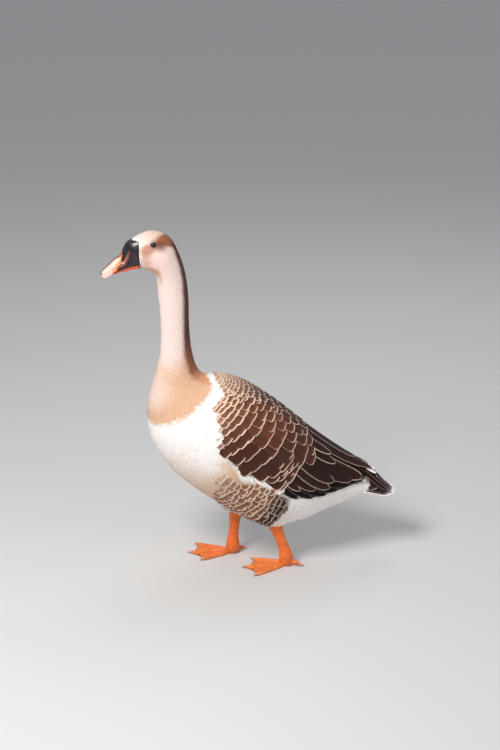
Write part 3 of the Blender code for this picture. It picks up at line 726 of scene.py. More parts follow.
# %% The outline of a feather, and its faces
OUTLINES = {  # share of the length, share of the full width
    "tuft": ((0, 0.30, 0.72, 1.0), (0.45, 0.95, 0.85, 0.12)),
    "body": ((0, 0.28, 0.62, 0.86, 1.0), (0.40, 0.92, 1.0, 0.72, 0.16)),
    "round": ((0, 0.25, 0.5, 0.7, 0.84, 0.93, 0.98, 1.0),
              (0.45, 0.85, 1.0, 1.0, 0.86, 0.62, 0.36, 0.10)),
    "square": ((0, 0.22, 0.5, 0.75, 0.88, 0.95, 0.985, 1.0),
               (0.55, 0.88, 1.0, 1.0, 0.96, 0.84, 0.64, 0.26)),
    "long": ((0, 0.12, 0.3, 0.5, 0.68, 0.82, 0.91, 0.965, 1.0),
             (0.45, 0.75, 0.95, 1.0, 0.93, 0.76, 0.55, 0.33, 0.06)),
}
ACROSS = {"tuft": (-1, 0, 1), "body": (-1, 0, 1), "round": (-1, -0.82, -0.4, 0, 0.4, 0.82, 1),
          "square": (-1, -0.86, -0.5, 0, 0.5, 0.86, 1),
          "long": (-1, -0.84, -0.5, -0.04, 0.04, 0.5, 0.84, 1)}
SMALL_OUTLINES = ("tuft", "body")


def feather_faces(rows, columns):
    """One feather's corners: the web is a grid of quads, the keel is two strips from the web's
    edges to one line of points below, and two fans shut the ends."""
    cells = np.arange(rows * columns).reshape(rows, columns)
    low = rows * columns + np.arange(rows)
    web = np.stack([cells[:-1, :-1], cells[:-1, 1:], cells[1:, 1:], cells[1:, :-1]], -1)
    keel = np.stack([np.stack([cells[:-1, 0], cells[1:, 0], low[1:], low[:-1]], -1),
                     np.stack([low[:-1], low[1:], cells[1:, -1], cells[:-1, -1]], -1)])
    fans = [np.stack([np.full(columns - 1, low[0]), cells[0, 1:], cells[0, :-1]], -1),
            np.stack([np.full(columns - 1, low[-1]), cells[-1, :-1], cells[-1, 1:]], -1)]
    return web.reshape(-1, 4), keel.reshape(-1, 4), np.concatenate(fans)


print("faces of a small feather:", sum(len(faces) for faces in feather_faces(5, 3)))

# %% [markdown]
# On a curved form a step to the side is a step in both section and turn. The form's two slopes
# give it exactly, so the webs keep their width even where the sections crowd together. Small
# feathers have their place on the flat map where they sit on the body, and large ones have a
# cell each. Small plumage should look as soft as down, so the light is shown the body's own
# direction there, bent a little by each feather.

# %% One feather's web, map, rim and softness
def dot(first, second):
    return (first * second).sum(-1)


def spread(form, root, tip, share, offset):
    """Points at shares of the midline, offset aside. With e, f, g the products of the slopes,
    and p, q those of aside with each slope, a step aside is (p g - q f) / (e g - f f) in
    section, and (q e - p f) / (e g - f f) in turn."""
    run = (tip - root)[:, None]
    place = root[:, None] + run * share[:, None]
    _, _, by_s, by_turn = read(form, place[..., 0], place[..., 1])
    way = unit(by_s * run[..., 0:1] + by_turn * run[..., 1:2])
    aside = unit(by_turn - way * dot(by_turn, way)[..., None])
    e, f, g = dot(by_s, by_s), dot(by_s, by_turn), dot(by_turn, by_turn)
    p, q = dot(aside, by_s), dot(aside, by_turn)
    solve = e * g - f * f
    step = np.stack([(p * g - q * f) / solve, (q * e - p * f) / solve], -1)
    grid = place[:, :, None] + step[:, :, None] * offset[..., None]
    point, normal, _, _ = read(form, grid[..., 0], grid[..., 1])
    return point, normal, way, aside


def bake_map(root, web, small):
    """A small feather's web is 0.003 wide at its root's place on the body; large ones fill the
    cells of a square."""
    if small:
        home = np.stack([root[:, 0] / BODY_END, (root[:, 1] + 180) / 360], -1) * 0.99
        return home[:, None] + web * 0.003
    cells = math.ceil(math.sqrt(len(root)))
    home = np.stack([np.arange(len(root)) % cells, np.arange(len(root)) // cells], -1)
    return (home[:, None] + 0.04 + 0.92 * web) / cells


def rim_distance(midline, a, b, breadth, sides):
    """The nearer of the side edge and the tip. Towards the root the side edge counts as many
    times farther off as sides says, so the fringe hugs the tip."""
    length = np.linalg.norm(np.diff(midline, axis=1), axis=-1).sum(1)
    fade = np.interp(a, (0.74, 0.93), (1.0, 0.0))
    from_side = (1 - np.abs(b)) * breadth * (1 + (np.reshape(sides, (-1, 1, 1)) - 1) * fade)
    return np.minimum(from_side, ((1 - a) + 0.004) * length[:, None, None])


def soft_light(points, normal, way, aside, a, b, pillow):
    """Body's direction + pillow x (b aside + 0.8 (a - 0.6) way) + 0.2 x the web's own
    direction, which counts alone where the web is steep."""
    own = unit(np.cross(np.gradient(points, axis=2), np.gradient(points, axis=1)))
    soft = normal + pillow * (b[:, None] * aside[:, :, None]
                              + 0.8 * (a[..., None] - 0.6) * way[:, :, None])
    steep = dot(own, normal)[..., None] < 0.6
    return unit(np.where(steep, own, soft + 0.2 * own))


midline = spread(COAT, np.array([[12.0, 60.0]]), np.array([[12.5, 60.0]]), np.linspace(0, 1, 5),
                 np.zeros((1, 5, 1)))[0][0, :, 0]
print("a feather from section 12 to 12.5 is",
      round(float(np.linalg.norm(np.diff(midline, axis=0), axis=-1).sum()), 4), "m long")

# %% [markdown]
# Now the parts come together. The web is lifted off the form as arrays for all the feathers of
# a piece at once, its keel is hung below, and the colours of root and fringe go along as values
# on the points.

# %% Lay feathers on a form
KEEL_DEPTH, KEEL_SHARE = 0.0003, 0.02


def feathers(name, form, root, tip, half, sink, lift, finish, tint, fringe=None, outline="body",
             camber=0.10, roll=0.0, sides=1.0, pillow=None, seed=1):
    """Height over the form = -sink (1 - a) + lift a + camber half (1 - b^2) + roll half b,
    where a runs along the feather and b from its upper edge (-1) to its lower edge (1)."""
    random = np.random.default_rng(seed)
    share, width = (np.array(values) for values in OUTLINES[outline])
    a, b = share[None, :, None], np.array(ACROSS[outline], float)
    count, rows, columns = len(root), len(share), len(b)
    side = np.where(root[:, 1] < 0, -1.0, 1.0)[:, None, None]
    half, sink, lift = (np.broadcast_to(value, count) for value in (half, sink, lift))
    breadth = (half[:, None] * width)[..., None]
    point, normal, way, aside = spread(form, root, tip, share, b * breadth)
    jitter = random.uniform(-0.5, 0.5, count)[:, None, None] * 0.15 * np.mean(lift + sink)
    height = -sink[:, None, None] * (1 - a) + lift[:, None, None] * a + jitter
    height = height + camber * breadth * (1 - b**2) + roll * breadth * b * side
    points = point + normal * height[..., None]
    middle = columns // 2
    depth = (camber + KEEL_SHARE) * breadth + KEEL_DEPTH

    def with_keel(grid, keel=None):
        """Each feather's grid of values, and then its keel's, the midline's if not given."""
        keel = grid[:, :, middle] if keel is None else keel
        return np.concatenate([grid.reshape(count, rows * columns, *grid.shape[3:]), keel], 1)

    web, keel, fans = feather_faces(rows, columns)
    each = rows * (columns + 1)
    start = np.arange(count)[:, None, None] * each
    faces = [(start + np.concatenate([web, keel])).reshape(-1, 4), (start + fans).reshape(-1, 3)]
    corners = np.concatenate([face.ravel() for face in faces])
    place = with_keel(np.stack(np.broadcast_arrays(0.5 + 0.5 * b * side, a), -1))
    maps = {"OFBake": bake_map(root, place, outline in SMALL_OUTLINES).reshape(-1, 2)[corners],
            "web": place.reshape(-1, 2)[corners]}
    values = {"tint": np.repeat(tint, each, axis=0)}
    if fringe is not None:
        rim = rim_distance(point[:, :, middle], a, b, breadth, sides)
        rim = rim * random.uniform(0.8, 1.3, count)[:, None, None]
        values["rim"] = with_keel(rim).reshape(-1)
        values["fringe"] = np.repeat(fringe, each, axis=0)
    flat = np.repeat([False, True], [len(web), len(keel)])
    flat = np.concatenate([np.tile(flat, count), np.ones(count * len(fans), bool)])
    seen = None
    if pillow is not None:
        seen, flat = with_keel(soft_light(points, normal, way, aside, a, b, pillow)), None
    points = with_keel(points, points[:, :, middle] - normal[:, :, middle] * depth)
    made = piece(name, points.reshape(-1, 3), faces, maps, values, finish, flat, seen)
    triangles = count * (2 * len(web) + 2 * len(keel) + len(fans))
    print(f"{name}: {count} feathers, {triangles} triangles")
    return made


# %% [markdown]
# Small feathers cover the head, neck, breast, belly and under tail. They are scattered evenly
# by area with a low-discrepancy series, because plain chance would leave bald spots, and each
# follows the line of the body towards the tail.

# %% Scatter roots, and aim the feathers
SERIES = (0.7548776662, 0.5698402910)  # 1 and 2 over powers of the plastic number


def varying(value, s):
    """A plain number, or a track of numbers by section."""
    return np.interp(s, *value) if isinstance(value, tuple) else np.full(np.shape(s), value)


def scattered(form, s_range, turn_range, gap, seed):
    """Roots about gap apart: steps of the series fill the (s, turn) rectangle, and each step is
    kept with a chance that grows with the area it stands for."""
    random = np.random.default_rng(seed)

    def crowd(s, turn):
        _, _, by_s, by_turn = read(form, s, turn)
        return np.linalg.norm(np.cross(by_s, by_turn), axis=-1) / varying(gap, s) ** 2

    most = crowd(*np.meshgrid(np.linspace(*s_range, 60), np.linspace(*turn_range, 60),
                              indexing="ij")).max()
    total = most * (s_range[1] - s_range[0]) * (turn_range[1] - turn_range[0])
    n = np.arange(int(total)) + seed * 977
    s = s_range[0] + (s_range[1] - s_range[0]) * ((n * SERIES[0]) % 1)
    turn = turn_range[0] + (turn_range[1] - turn_range[0]) * ((n * SERIES[1]) % 1)
    keep = random.random(len(n)) < crowd(s, turn) / most
    return np.stack([s[keep], turn[keep]], -1)


def towards_tail(form, root, length, drift=0.0, jitter=4.0, seed=1):
    """Tips a given length behind the roots; drift and jitter turn them aside, in degrees."""
    random = np.random.default_rng(seed)
    _, _, by_s, by_turn = read(form, root[:, 0], root[:, 1])
    angle = np.radians(drift + random.uniform(-jitter, jitter, len(root)))
    ds = length * np.cos(angle) / np.linalg.norm(by_s, axis=-1)
    dturn = length * np.sin(angle) / np.linalg.norm(by_turn, axis=-1)
    return np.stack([np.minimum(root[:, 0] + np.minimum(ds, 1.3), BODY_END),
                     root[:, 1] + dturn], -1)


def toned(colour, amount, seed):
    """Each feather's colour made a little lighter or darker."""
    random = np.random.default_rng(seed)
    return np.clip(colour * (1 + random.uniform(-amount, amount, len(colour))[:, None]), 0, 1)


def small_feathers(name, form, root, length, half, sink, lift, seed, outline="body"):
    length, half, sink, lift = (varying(value, root[:, 0])
                                for value in (length, half, sink, lift))
    tip = towards_tail(form, root, length, seed=seed)
    place = root + (tip - root) * 0.6
    tint = toned(markings(place[:, 0], place[:, 1]), 0.04, seed + 1)
    made = feathers(name, form, root, tip, half, sink, lift, SMALL, tint, outline=outline,
                    camber=0.05, pillow=0.16, seed=seed)
    return made


print("roots on a palm of the breast:", len(scattered(COAT, (11.0, 12.0), (60, 120), 0.005, 1)))

# %% [markdown]
# On the face the feathers are tiny, and they stop at the bill's base and at the eye's rim. They
# get longer along the neck towards the breast. Bare skin in the right colours would pass for
# them from afar, but even feathers 4 mm wide break the light as plumage does.

# %% Face and neck feathers
EYE_PLACE = (1.87, 65.0)  # the eye's section and turn
HEAD, NECK = (0, 4.6), (4.3, 9.7)
ALL_ROUND = (-180, 180)
root = scattered(TRUNK, (0.0, 4.6), ALL_ROUND, (HEAD, (0.0017, 0.0022)), 11)
_, _, eye_s, eye_turn = read(TRUNK, *(np.array([value]) for value in EYE_PLACE))
eye_gap = np.hypot((root[:, 0] - EYE_PLACE[0]) * np.linalg.norm(eye_s),
                   (np.abs(root[:, 1]) - EYE_PLACE[1]) * np.linalg.norm(eye_turn))
rear = np.interp(np.abs(root[:, 1]), *BLACK_REAR) + 0.05
root = root[(root[:, 0] > rear) & (eye_gap > 0.0056)]
small_feathers("face_feathers", TRUNK, root, ((0, 1.5, 4.6), (0.0042, 0.0055, 0.0085)),
               (HEAD, (0.0018, 0.0023)), 0.0003, 0.00005, 21, "tuft")

root = scattered(TRUNK, NECK, ALL_ROUND, (NECK, (0.0023, 0.0032)), 12)
small_feathers("neck_feathers", TRUNK, root, (NECK, (0.011, 0.017)), (NECK, (0.0024, 0.0034)),
               (NECK, (0.0005, 0.0009)), 0.0001, 22, "tuft")

# %% [markdown]
# The breast and belly are clad in broader feathers, left out where the mantle and the wings
# will lie. A strip of white ones shows between wing and flank, and the rump has its own.

# %% Breast, belly, side and rump feathers
BREAST, REAR = (9.2, 12.6), (12.3, 18.3)
root = scattered(COAT, BREAST, ALL_ROUND, (BREAST, (0.0038, 0.0056)), 13)
inside = root[:, 0] > np.interp(np.abs(root[:, 1]), *MANTLE) - 0.08
low = np.interp(root[:, 0], WING[:, 0], WING[:, 3])
root = root[~(inside & (np.abs(root[:, 1]) < low - 2))]
small_feathers("breast_feathers", COAT, root, (BREAST, (0.019, 0.028)),
               (BREAST, (0.0038, 0.0070)), (BREAST, (0.0012, 0.0018)), 0.0002,
               23)

root = np.concatenate([scattered(COAT, REAR, (60, 180), 0.0060, 14),
                       scattered(COAT, REAR, (-180, -60), 0.0060, 16)])
low = np.maximum(np.interp(root[:, 0], WING[:, 0], WING[:, 3]) - 5,
                 np.interp(root[:, 0], *WING_EDGE) + 1)
root = root[(np.abs(root[:, 1]) > low) & ((root[:, 0] < 17.15) | (np.abs(root[:, 1]) > 98))]
small_feathers("belly_feathers", TRUNK, root, ((12.3, 17, 18.3), (0.030, 0.028, 0.020)),
               (REAR, (0.0075, 0.006)), 0.0018, 0.0003, 24)

root = scattered(COAT, (12.45, 13.75), (86, 112), 0.0048, 17)
below = root[:, 1] - np.interp(root[:, 0], *WING_EDGE)
root = root[(below > 3.5) & (below < 11)]
small_feathers("side_feathers", COAT, np.concatenate([root, root * (1, -1)]), 0.020, 0.0056,
               0.0012, 0.0010, 26)

root = scattered(COAT, (16.9, 18.15), (-102, 102), 0.0046, 15)
small_feathers("rump_feathers", COAT, root, ((16.9, 17.5, 18.15), (0.020, 0.014, 0.007)),
               ((16.9, 18.15), (0.0052, 0.0042)), 0.0014, 0.0003, 25)

# %% [markdown]
# The back is scaled: rows of small brown feathers with broad pale fringes. A row's tips lie
# along one section of the body, drawn forward a little at both ends, and stand a set distance
# apart. Each row starts at its own offset, so that the rows don't line up into columns. The
# same helper lays the wing coverts and the flank.

# %% Rows of feathers
def track(places, values):
    """The function that runs evenly through the values at the places."""
    return lambda at: np.interp(at, places, values)


def in_rows(form, rows, bend, first, last, gap, seed, jitter=0.10):
    """Tips gap(s) apart on each row between two turns: s = row - bend(turn)."""
    random = np.random.default_rng(seed)
    tips = []
    for k, s in enumerate(rows):
        turn = np.linspace(first(s), last(s), 60)
        line = s - bend(turn)
        point, _, _, _ = read(form, line, turn)
        reach = np.concatenate([[0], np.cumsum(np.linalg.norm(np.diff(point, axis=0), axis=1))])
        count = max(int(reach[-1] / gap(s) + 0.5), 1)
        stops = (np.arange(count) + (0.30 + 0.37 * k) % 1) * reach[-1] / count
        stops += random.uniform(-jitter, jitter, count) * gap(s)
        shift = random.uniform(-jitter, jitter, count) * 0.2
        tips.append(np.stack([np.interp(stops, reach, line) + shift,
                              np.interp(stops, reach, turn)], -1))
    return np.concatenate(tips)


def pale(count, colour, seed, amount=0.10):
    """The same colour for each feather, made a little lighter or darker."""
    return toned(np.broadcast_to(colour, (count, 3)), amount, seed)


def by_share(first, second, share):
    """From the first colour to the second by a share for each feather."""
    return first * (1 - share) + second * share


print("the rows start", [round((0.30 + 0.37 * k) % 1, 2) for k in range(5)], "of a gap in")

# %% [markdown]
# The mantle's feathers are small and pale at the foot of the neck, and get larger and darker
# down the back. The first ones are paler still, so that the brown sets in softly.

# %% The mantle
MANTLE_EDGE = track((10.6, 11.2, 12.1, 12.6, 13.4, 14.4), (44, 38, 33, 28, 25, 24))
MANTLE_ROWS = np.cumsum([10.75, 0.13, 0.13, 0.14, 0.14, 0.15, 0.15, 0.16, 0.17, 0.18, 0.19, 0.20,
                         0.22, 0.24, 0.26, 0.28, 0.30, 0.30])
stations = (10.7, 12.0, 13.0, 14.2)
tip = in_rows(COAT, MANTLE_ROWS, lambda turn: 0.12 * (turn / 30) ** 2, lambda s: -MANTLE_EDGE(s),
              MANTLE_EDGE, track(stations, (0.0085, 0.0105, 0.0160, 0.0210)), 31)
behind = tip[:, 0] - np.interp(np.abs(tip[:, 1]), *MANTLE)
tip, behind = tip[behind > 0.10], behind[behind > 0.10]
length = np.interp(tip[:, 0], stations, (0.020, 0.027, 0.040, 0.052))
half = np.interp(tip[:, 0], stations, (0.0065, 0.0082, 0.0120, 0.0150))
root = towards_tail(COAT, tip, -length, jitter=5, seed=32)
age = smooth(11.2, 12.9, tip[:, 0])[:, None]
tint = by_share(paint(136, 96, 76), paint(72, 36, 27), age)
edge = 1 - smooth(0.08, 0.50, behind)[:, None]
tint = toned(tint + (paint(184, 150, 128) - tint) * edge * 0.8, 0.16, 33)
mantle = feathers("mantle_feathers", COAT, root, tip, half, 0.0020, 0.0018, SCALED, tint,
                  pale(len(root), paint(226, 196, 176), 34), "round", camber=0.06, roll=0.03,
                  sides=1.5, seed=35)

# %% [markdown]
# Each wing lies folded against the trunk. Under its feathers is a closed bed with the wing's
# own form, so that nothing shows through where feathers part. Over that come rows of coverts
# with broad, almost square tips. Their pale rims line up into long curves round the shoulder.

# %% The beds of the wings
SIDES = (("left", 1), ("right", -1))


def wing_bed(name, side):
    """A closed pad: the wing's outer form drawn in by 2 mm, and 5 mm thick, coloured with the
    markings darkened as painted shade under the feathers.
    """
    s = np.linspace(11.6, 17.7, 50)[:, None]
    across = np.linspace(0.03, 0.97, 24)[None, :]
    low, high = (np.interp(s, WING[:, 0], WING[:, k]) for k in (3, 4))
    turn = (low + (high - low) * across) * side
    point, normal, _, _ = read(COAT, s + 0 * turn, turn)
    outer, inner = point - normal * 0.0022, point - normal * 0.0075
    ring = np.concatenate([outer, inner[:, ::-1]], axis=1)
    if side > 0:
        ring = ring[:, ::-1]
    # Painted shade: the markings at 0.6, as the bed lies in the feathers' shade.
    tint = markings(s + 0 * turn, turn) * 0.6
    bed = closed_tube(ring, {"tint": np.concatenate([tint, tint[:, ::-1]], 1)})
    return assembled(name, [bed], SKIN)


for label, side in SIDES:
    bed = wing_bed(f"wing_bed_{label}", side)
    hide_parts(f"wing_{label}")
    print(bed.name, "of", len(bed.data.polygons), "faces")

# %% [markdown]
# The coverts grow from 16 mm at the shoulder to 58 mm on the wing. The rows start under the
# mantle and each has its own end along the wing's lower edge, because that edge is what the eye
# follows. One set of roots and tips serves both wings, turned over for the right one.

# %% The coverts
COVERT_ROWS = (11.12, 11.27, 11.43, 11.60, 11.78, 11.97, 12.18, 12.42, 12.70, 13.02, 13.36, 13.72,
               14.12, 14.42)
COVERT_ENDS = track((11.1, 11.5, 11.8, 12.1, 12.42, 12.7, 13.02, 13.36, 13.72, 14.2),
                    (60, 71, 81, 89, 91, 97, 94, 102, 95, 88))
GREATER_ROWS = (13.80, 13.89, 13.98, 14.08, 14.19)


def wing_bend(turn):
    """How far forward a row of coverts is drawn: most at the wing's lower edge."""
    return np.where(turn > 48, 0.36 * ((turn - 48) / 47) ** 2, 0.18 * ((48 - turn) / 20) ** 2)


stations = (11.1, 11.8, 13.0, 14.2)
tip = in_rows(COAT, COVERT_ROWS, wing_bend, lambda s: MANTLE_EDGE(s) - 5, COVERT_ENDS,
              track(stations, (0.0115, 0.0155, 0.0200, 0.0205)), 41)
greater = in_rows(COAT, GREATER_ROWS, wing_bend, lambda s: 61, lambda s: 87, lambda s: 0.0190, 46)
tip = np.concatenate([tip, greater])
behind = tip[:, 0] - np.interp(tip[:, 1], *MANTLE)
used = (behind > 0.06) & ((tip[:, 0] < 14.1) | (tip[:, 1] < 60))
tip, behind = tip[used], behind[used]
length = np.minimum(np.interp(tip[:, 0], stations, (0.028, 0.038, 0.052, 0.058)),
                    0.012 + 0.060 * behind)
half = np.minimum(np.interp(tip[:, 0], stations, (0.0098, 0.0128, 0.0166, 0.0170)),
                  0.0068 + 0.013 * behind)
root = towards_tail(COAT, tip, -length, drift=4, jitter=2.5, seed=42)
age = smooth(11.4, 12.9, tip[:, 0])[:, None]
low = smooth(52, 84, tip[:, 1])[:, None]
tint = by_share(paint(118, 74, 54), paint(106, 58, 38), age)
tint = tint + (paint(76, 42, 32) - tint) * smooth(13.0, 13.9, tip[:, 0])[:, None]
tint = tint * (1 - low * age * 0.8) + paint(54, 26, 18) * low * age * 0.85
edge = 1 - smooth(0.06, 0.42, behind)[:, None]
tint = toned(tint + (paint(184, 148, 124) - tint) * edge * 0.8, 0.16, 43)
for label, side in SIDES:
    coverts = feathers(f"covert_feathers_{label}", COAT, root * (1, side), tip * (1, side), half,
                       0.0030, np.interp(behind, (0.0, 0.35), (0.0004, 0.0014)), LARGE, tint,
                       pale(len(root), FRINGE, 44), "square", camber=0.06, roll=0.035,
                       sides=np.interp(tip[:, 0], (11.4, 12.6), (1.8, 4.0)), seed=45)

# %% [markdown]
# Behind the coverts are the long tertials that point at the tail, and below those the black
# flight feathers. There are so few that each one's place is written down. The upper feathers
# overlap the lower ones.

# %% Tertials and flight feathers
# root section and turn, tip section and turn, half width, lift of the tip
TERTIALS = np.array([
    (13.30, 6, 16.30, 5, 0.0150, 0.0036), (13.70, 22, 17.42, 12, 0.0178, 0.0032),
    (13.60, 30, 15.00, 30, 0.0130, 0.0040), (13.60, 36, 15.25, 40, 0.0135, 0.0034),
    (13.80, 38, 16.75, 50, 0.0165, 0.0028), (13.60, 46, 16.20, 58, 0.0160, 0.0022),
    (13.40, 53, 15.40, 65, 0.0150, 0.0018), (13.35, 61, 15.35, 75, 0.0140, 0.0012),
    (13.25, 68, 14.85, 81, 0.0130, 0.0008), (13.1, 74, 14.4, 86, 0.0110, 0.0004)])
FLIGHT = np.array([
    (15.1, 40, 17.20, 40, 0.0100, -0.0002), (15.1, 50, 17.00, 50, 0.0095, -0.0006),
    (14.9, 59, 16.60, 60, 0.0095, -0.0008), (14.6, 67, 16.20, 70, 0.0095, -0.0010),
    (14.3, 74, 15.80, 79, 0.0090, -0.0012), (14.0, 80, 15.40, 86, 0.0085, -0.0014),
    (13.7, 84, 14.95, 91, 0.0080, -0.0015), (13.4, 87, 14.50, 94, 0.0075, -0.0016)])


def long_feathers(name, table, side, tint, rim, seed, finish):
    root, tip = table[:, 0:2] * (1, side), table[:, 2:4] * (1, side)
    made = feathers(name, COAT, root, tip, table[:, 4], 0.0026, table[:, 5], finish,
                    pale(len(table), tint, seed, 0.15), pale(len(table), rim, seed + 1), "long",
                    camber=0.06, roll=0.05, seed=seed)


for label, side in SIDES:
    long_feathers(f"flight_feathers_{label}", FLIGHT, side, paint(17, 12, 13),
                  paint(92, 76, 70), 53, DARK)
    long_feathers(f"tertial_feathers_{label}", TERTIALS, side, paint(46, 27, 24),
                  paint(206, 178, 162), 55, THIN)

# %% [markdown]
# The flank feathers lie below the wing. They are pale tan in front, brown with pale crescents
# further back, and almost black where they meet the white feathers under the tail. They are
# laid in rows and not scattered, because their fringes line up into wavy bands.

# %% The flanks
FLANK_TOP = track((12.0, 12.4, 12.8, 13.0, 13.2, 13.5, 13.8, 14.1, 14.4),
                  (98, 102, 108, 109, 106, 99, 95, 95, 104))
FLANK_ROWS = np.cumsum([12.15] + [0.135] * 18)
tip = in_rows(COAT, FLANK_ROWS, lambda turn: 0.16 * ((turn - 122) / 30) ** 2,
              lambda s: FLANK_TOP(s) + 2, lambda s: 160, lambda s: 0.0115, 61, 0.16)
front = np.interp(tip[:, 1], (97, 107, 124, 137, 160), (12.52, 12.55, 12.66, 12.85, 13.1))
rear = np.interp(tip[:, 1], (98, 111, 124, 160), (14.32, 14.40, 14.36, 14.2))
tip = tip[(tip[:, 0] > front) & (tip[:, 0] < rear)]
root = towards_tail(COAT, tip, np.full(len(tip), -0.030), jitter=5, seed=62)
rear = smooth(13.7, 14.15, tip[:, 0])[:, None]
tint = by_share(paint(206, 176, 152), paint(134, 92, 70),
                smooth(12.45, 13.15, tip[:, 0])[:, None])
tint = toned(by_share(tint, paint(46, 28, 23), rear), 0.16, 63)
rim = toned(paint(228, 206, 186) * (1 - rear * 0.45), 0.06, 64)
for label, side in SIDES:
    flank = feathers(f"flank_feathers_{label}", COAT, root * (1, side), tip * (1, side), 0.0092,
                     0.0022, np.interp(tip[:, 0], (12.2, 13.2), (0.0004, 0.0016)), SCALED, tint,
                     rim, "square", camber=0.06, roll=0.02, sides=2.2, seed=65)

# %% [markdown]
# The tail is a fan of long feathers on a gently arched surface. The middle pair lies on top.
# All are dark brown with a broad white tip, and the outermost have a white outer edge too. Dark
# coverts fill the hollow between the wing tips and the tail, and a white tuft closes it on top.
# They could lie on the body's form like the rest, but only a fan spreads them from one root.

# %% The tail's form
TAIL_PIVOT = (0.060, 0.1700)
TAIL_DIP, TAIL_ROLL = math.radians(10), math.radians(4)


def fan_form(reach, angle):
    """Out = reach sin(angle), back = reach cos(angle), fallen by 0.6 x^2 + roll x + droop t^3,
    then dipped by 10 degrees about the pivot."""
    x = reach * np.sin(np.radians(angle))
    back = reach * np.cos(np.radians(angle))
    t = (reach - 0.125) / 0.094
    fall = -0.6 * x**2 - 0.005 * np.clip(t, 0, 1.1) ** 3 - x * math.tan(TAIL_ROLL)
    y = TAIL_PIVOT[0] + back * math.cos(TAIL_DIP) + fall * math.sin(TAIL_DIP)
    z = TAIL_PIVOT[1] - back * math.sin(TAIL_DIP) + fall * math.cos(TAIL_DIP)
    return np.stack([x, y, z], -1) + PLACE


FAN = sampled(fan_form, (0.090, 0.232), (-24.0, 24.0), (60, 60))
print("the tail ends", round(float(fan_form(0.2185, 0.0)[1]), 4), "behind the middle")

# %% [markdown]
# The fan's feathers slide under each other from the middle out, so their roots are sunk deeper
# and their tips lie lower towards the sides. The coverts and the tuft start below the fan's
# surface, under the wing tips, and come up over the tail's root.

# %% Tail feathers, their coverts and the white tuft
half_fan = 13.6  # degrees
angle = np.linspace(-half_fan, half_fan, 16)
outer = np.abs(angle) / half_fan
root = np.stack([0.112 + 0 * angle, angle * 0.95], -1)
tip = np.stack([0.2185 * (1 - 0.10 * outer**2.6), angle], -1)
tail = feathers("tail_feathers", FAN, root, tip, 0.0084, 0.0010 + 0.0034 * outer,
                0.0012 - 0.0034 * outer, TAIL, pale(16, paint(66, 46, 42), 71),
                pale(16, paint(246, 242, 242), 72, 0.02), "long", camber=0.05,
                sides=np.where(outer > 0.93, 1.6, 24.0), seed=73)
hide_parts("tail")

angle = np.linspace(-10.5, 10.5, 9)
outer = np.abs(angle) / 12
root = np.stack([0.150 - 0.012 * outer**2, angle], -1)
cover = feathers("tail_coverts", FAN, root, root + (0.048, 0.0), 0.0095,
                 -0.0372 + 0.009 * outer**2, 0.0035 - 0.0010 * outer, THIN,
                 pale(9, paint(62, 42, 38), 75), pale(9, paint(128, 104, 92), 76, 0.05), "long",
                 camber=0.12, seed=77)

root = np.array([(0.139, -6.2), (0.140, 5.4), (0.141, -0.4)])
high = np.array([0.0006, 0.0006, 0.0016])
tuft = feathers("rump_tuft", FAN, root, root + (0.0275, 0.0), 0.0088, -0.0380 - high,
                0.0280 + high, THIN, pale(3, WHITE, 78, 0.03), pale(3, WHITE, 79, 0.03),
                "round", camber=0.13, seed=80)

# %% [markdown]
# The bill is horn and soft skin. Its black base reaches back over the face on each side, and
# its rear border is a clean curve. In front the colour breaks into orange and then pale pink,
# and the bill ends in a hard nail. A long nostril lies a third of the way along, and painted
# shade makes a dark line down the ridge. It could be carved from a block. Here it is one
# function of how far along the bill and how far round its roof, so that shape and colour share
# the same borders.

# %% The form of the bill's roof
BILL = np.array([
    (-0.2470, 0.6590, -0.2325, 0.6120, 0.0182, 2.3),
    (-0.2555, 0.6535, -0.2405, 0.6120, 0.0169, 2.3),
    (-0.2620, 0.6430, -0.2480, 0.6105, 0.0151, 2.1),
    (-0.2680, 0.6302, -0.2570, 0.6080, 0.0136, 1.9),
    (-0.2785, 0.6238, -0.2680, 0.6040, 0.0122, 1.8),
    (-0.2890, 0.6140, -0.2800, 0.5985, 0.0114, 1.9),
    (-0.2965, 0.6068, -0.2890, 0.5925, 0.0106, 2.0),
    (-0.3025, 0.6005, -0.2960, 0.5890, 0.0086, 2.0),
    (-0.3056, 0.5955, -0.3020, 0.5888, 0.0048, 2.0)])  # ridge (y, z), edge (y, z), half, fullness
NAIL_START, BILL_TIP = 6.2, 8.0  # rows of the table
PALATE_POINTS = 11


def bell(x, width):
    """e^(-(x / width)^2), a smooth hump about 0."""
    return np.exp(-((x / width) ** 2))


def bill_roof(t, u):
    """Side = half u, height = (1 - |u|^full)^(1/full) of the way from the edge to the ridge.
    The side is drawn in by a broad hollow, and more by the nostril in it."""
    rows = along(BILL, t)
    high = (1 - np.abs(u) ** rows[..., 5]) ** (1 / rows[..., 5])
    flat = rows[..., 2:4] + (rows[..., 0:2] - rows[..., 2:4]) * high[..., None]
    nostril = bell(t - 2.75 + (high - 0.55) * 2.0, 0.50) * bell(high - 0.55, 0.07)
    hollow = 0.10 * bell(t - 2.4, 1.3) * bell(high - 0.56, 0.2)
    side = rows[..., 4] * u * (1 - hollow - 0.22 * nostril)
    return np.concatenate([side[..., None], flat], -1) + PLACE, high


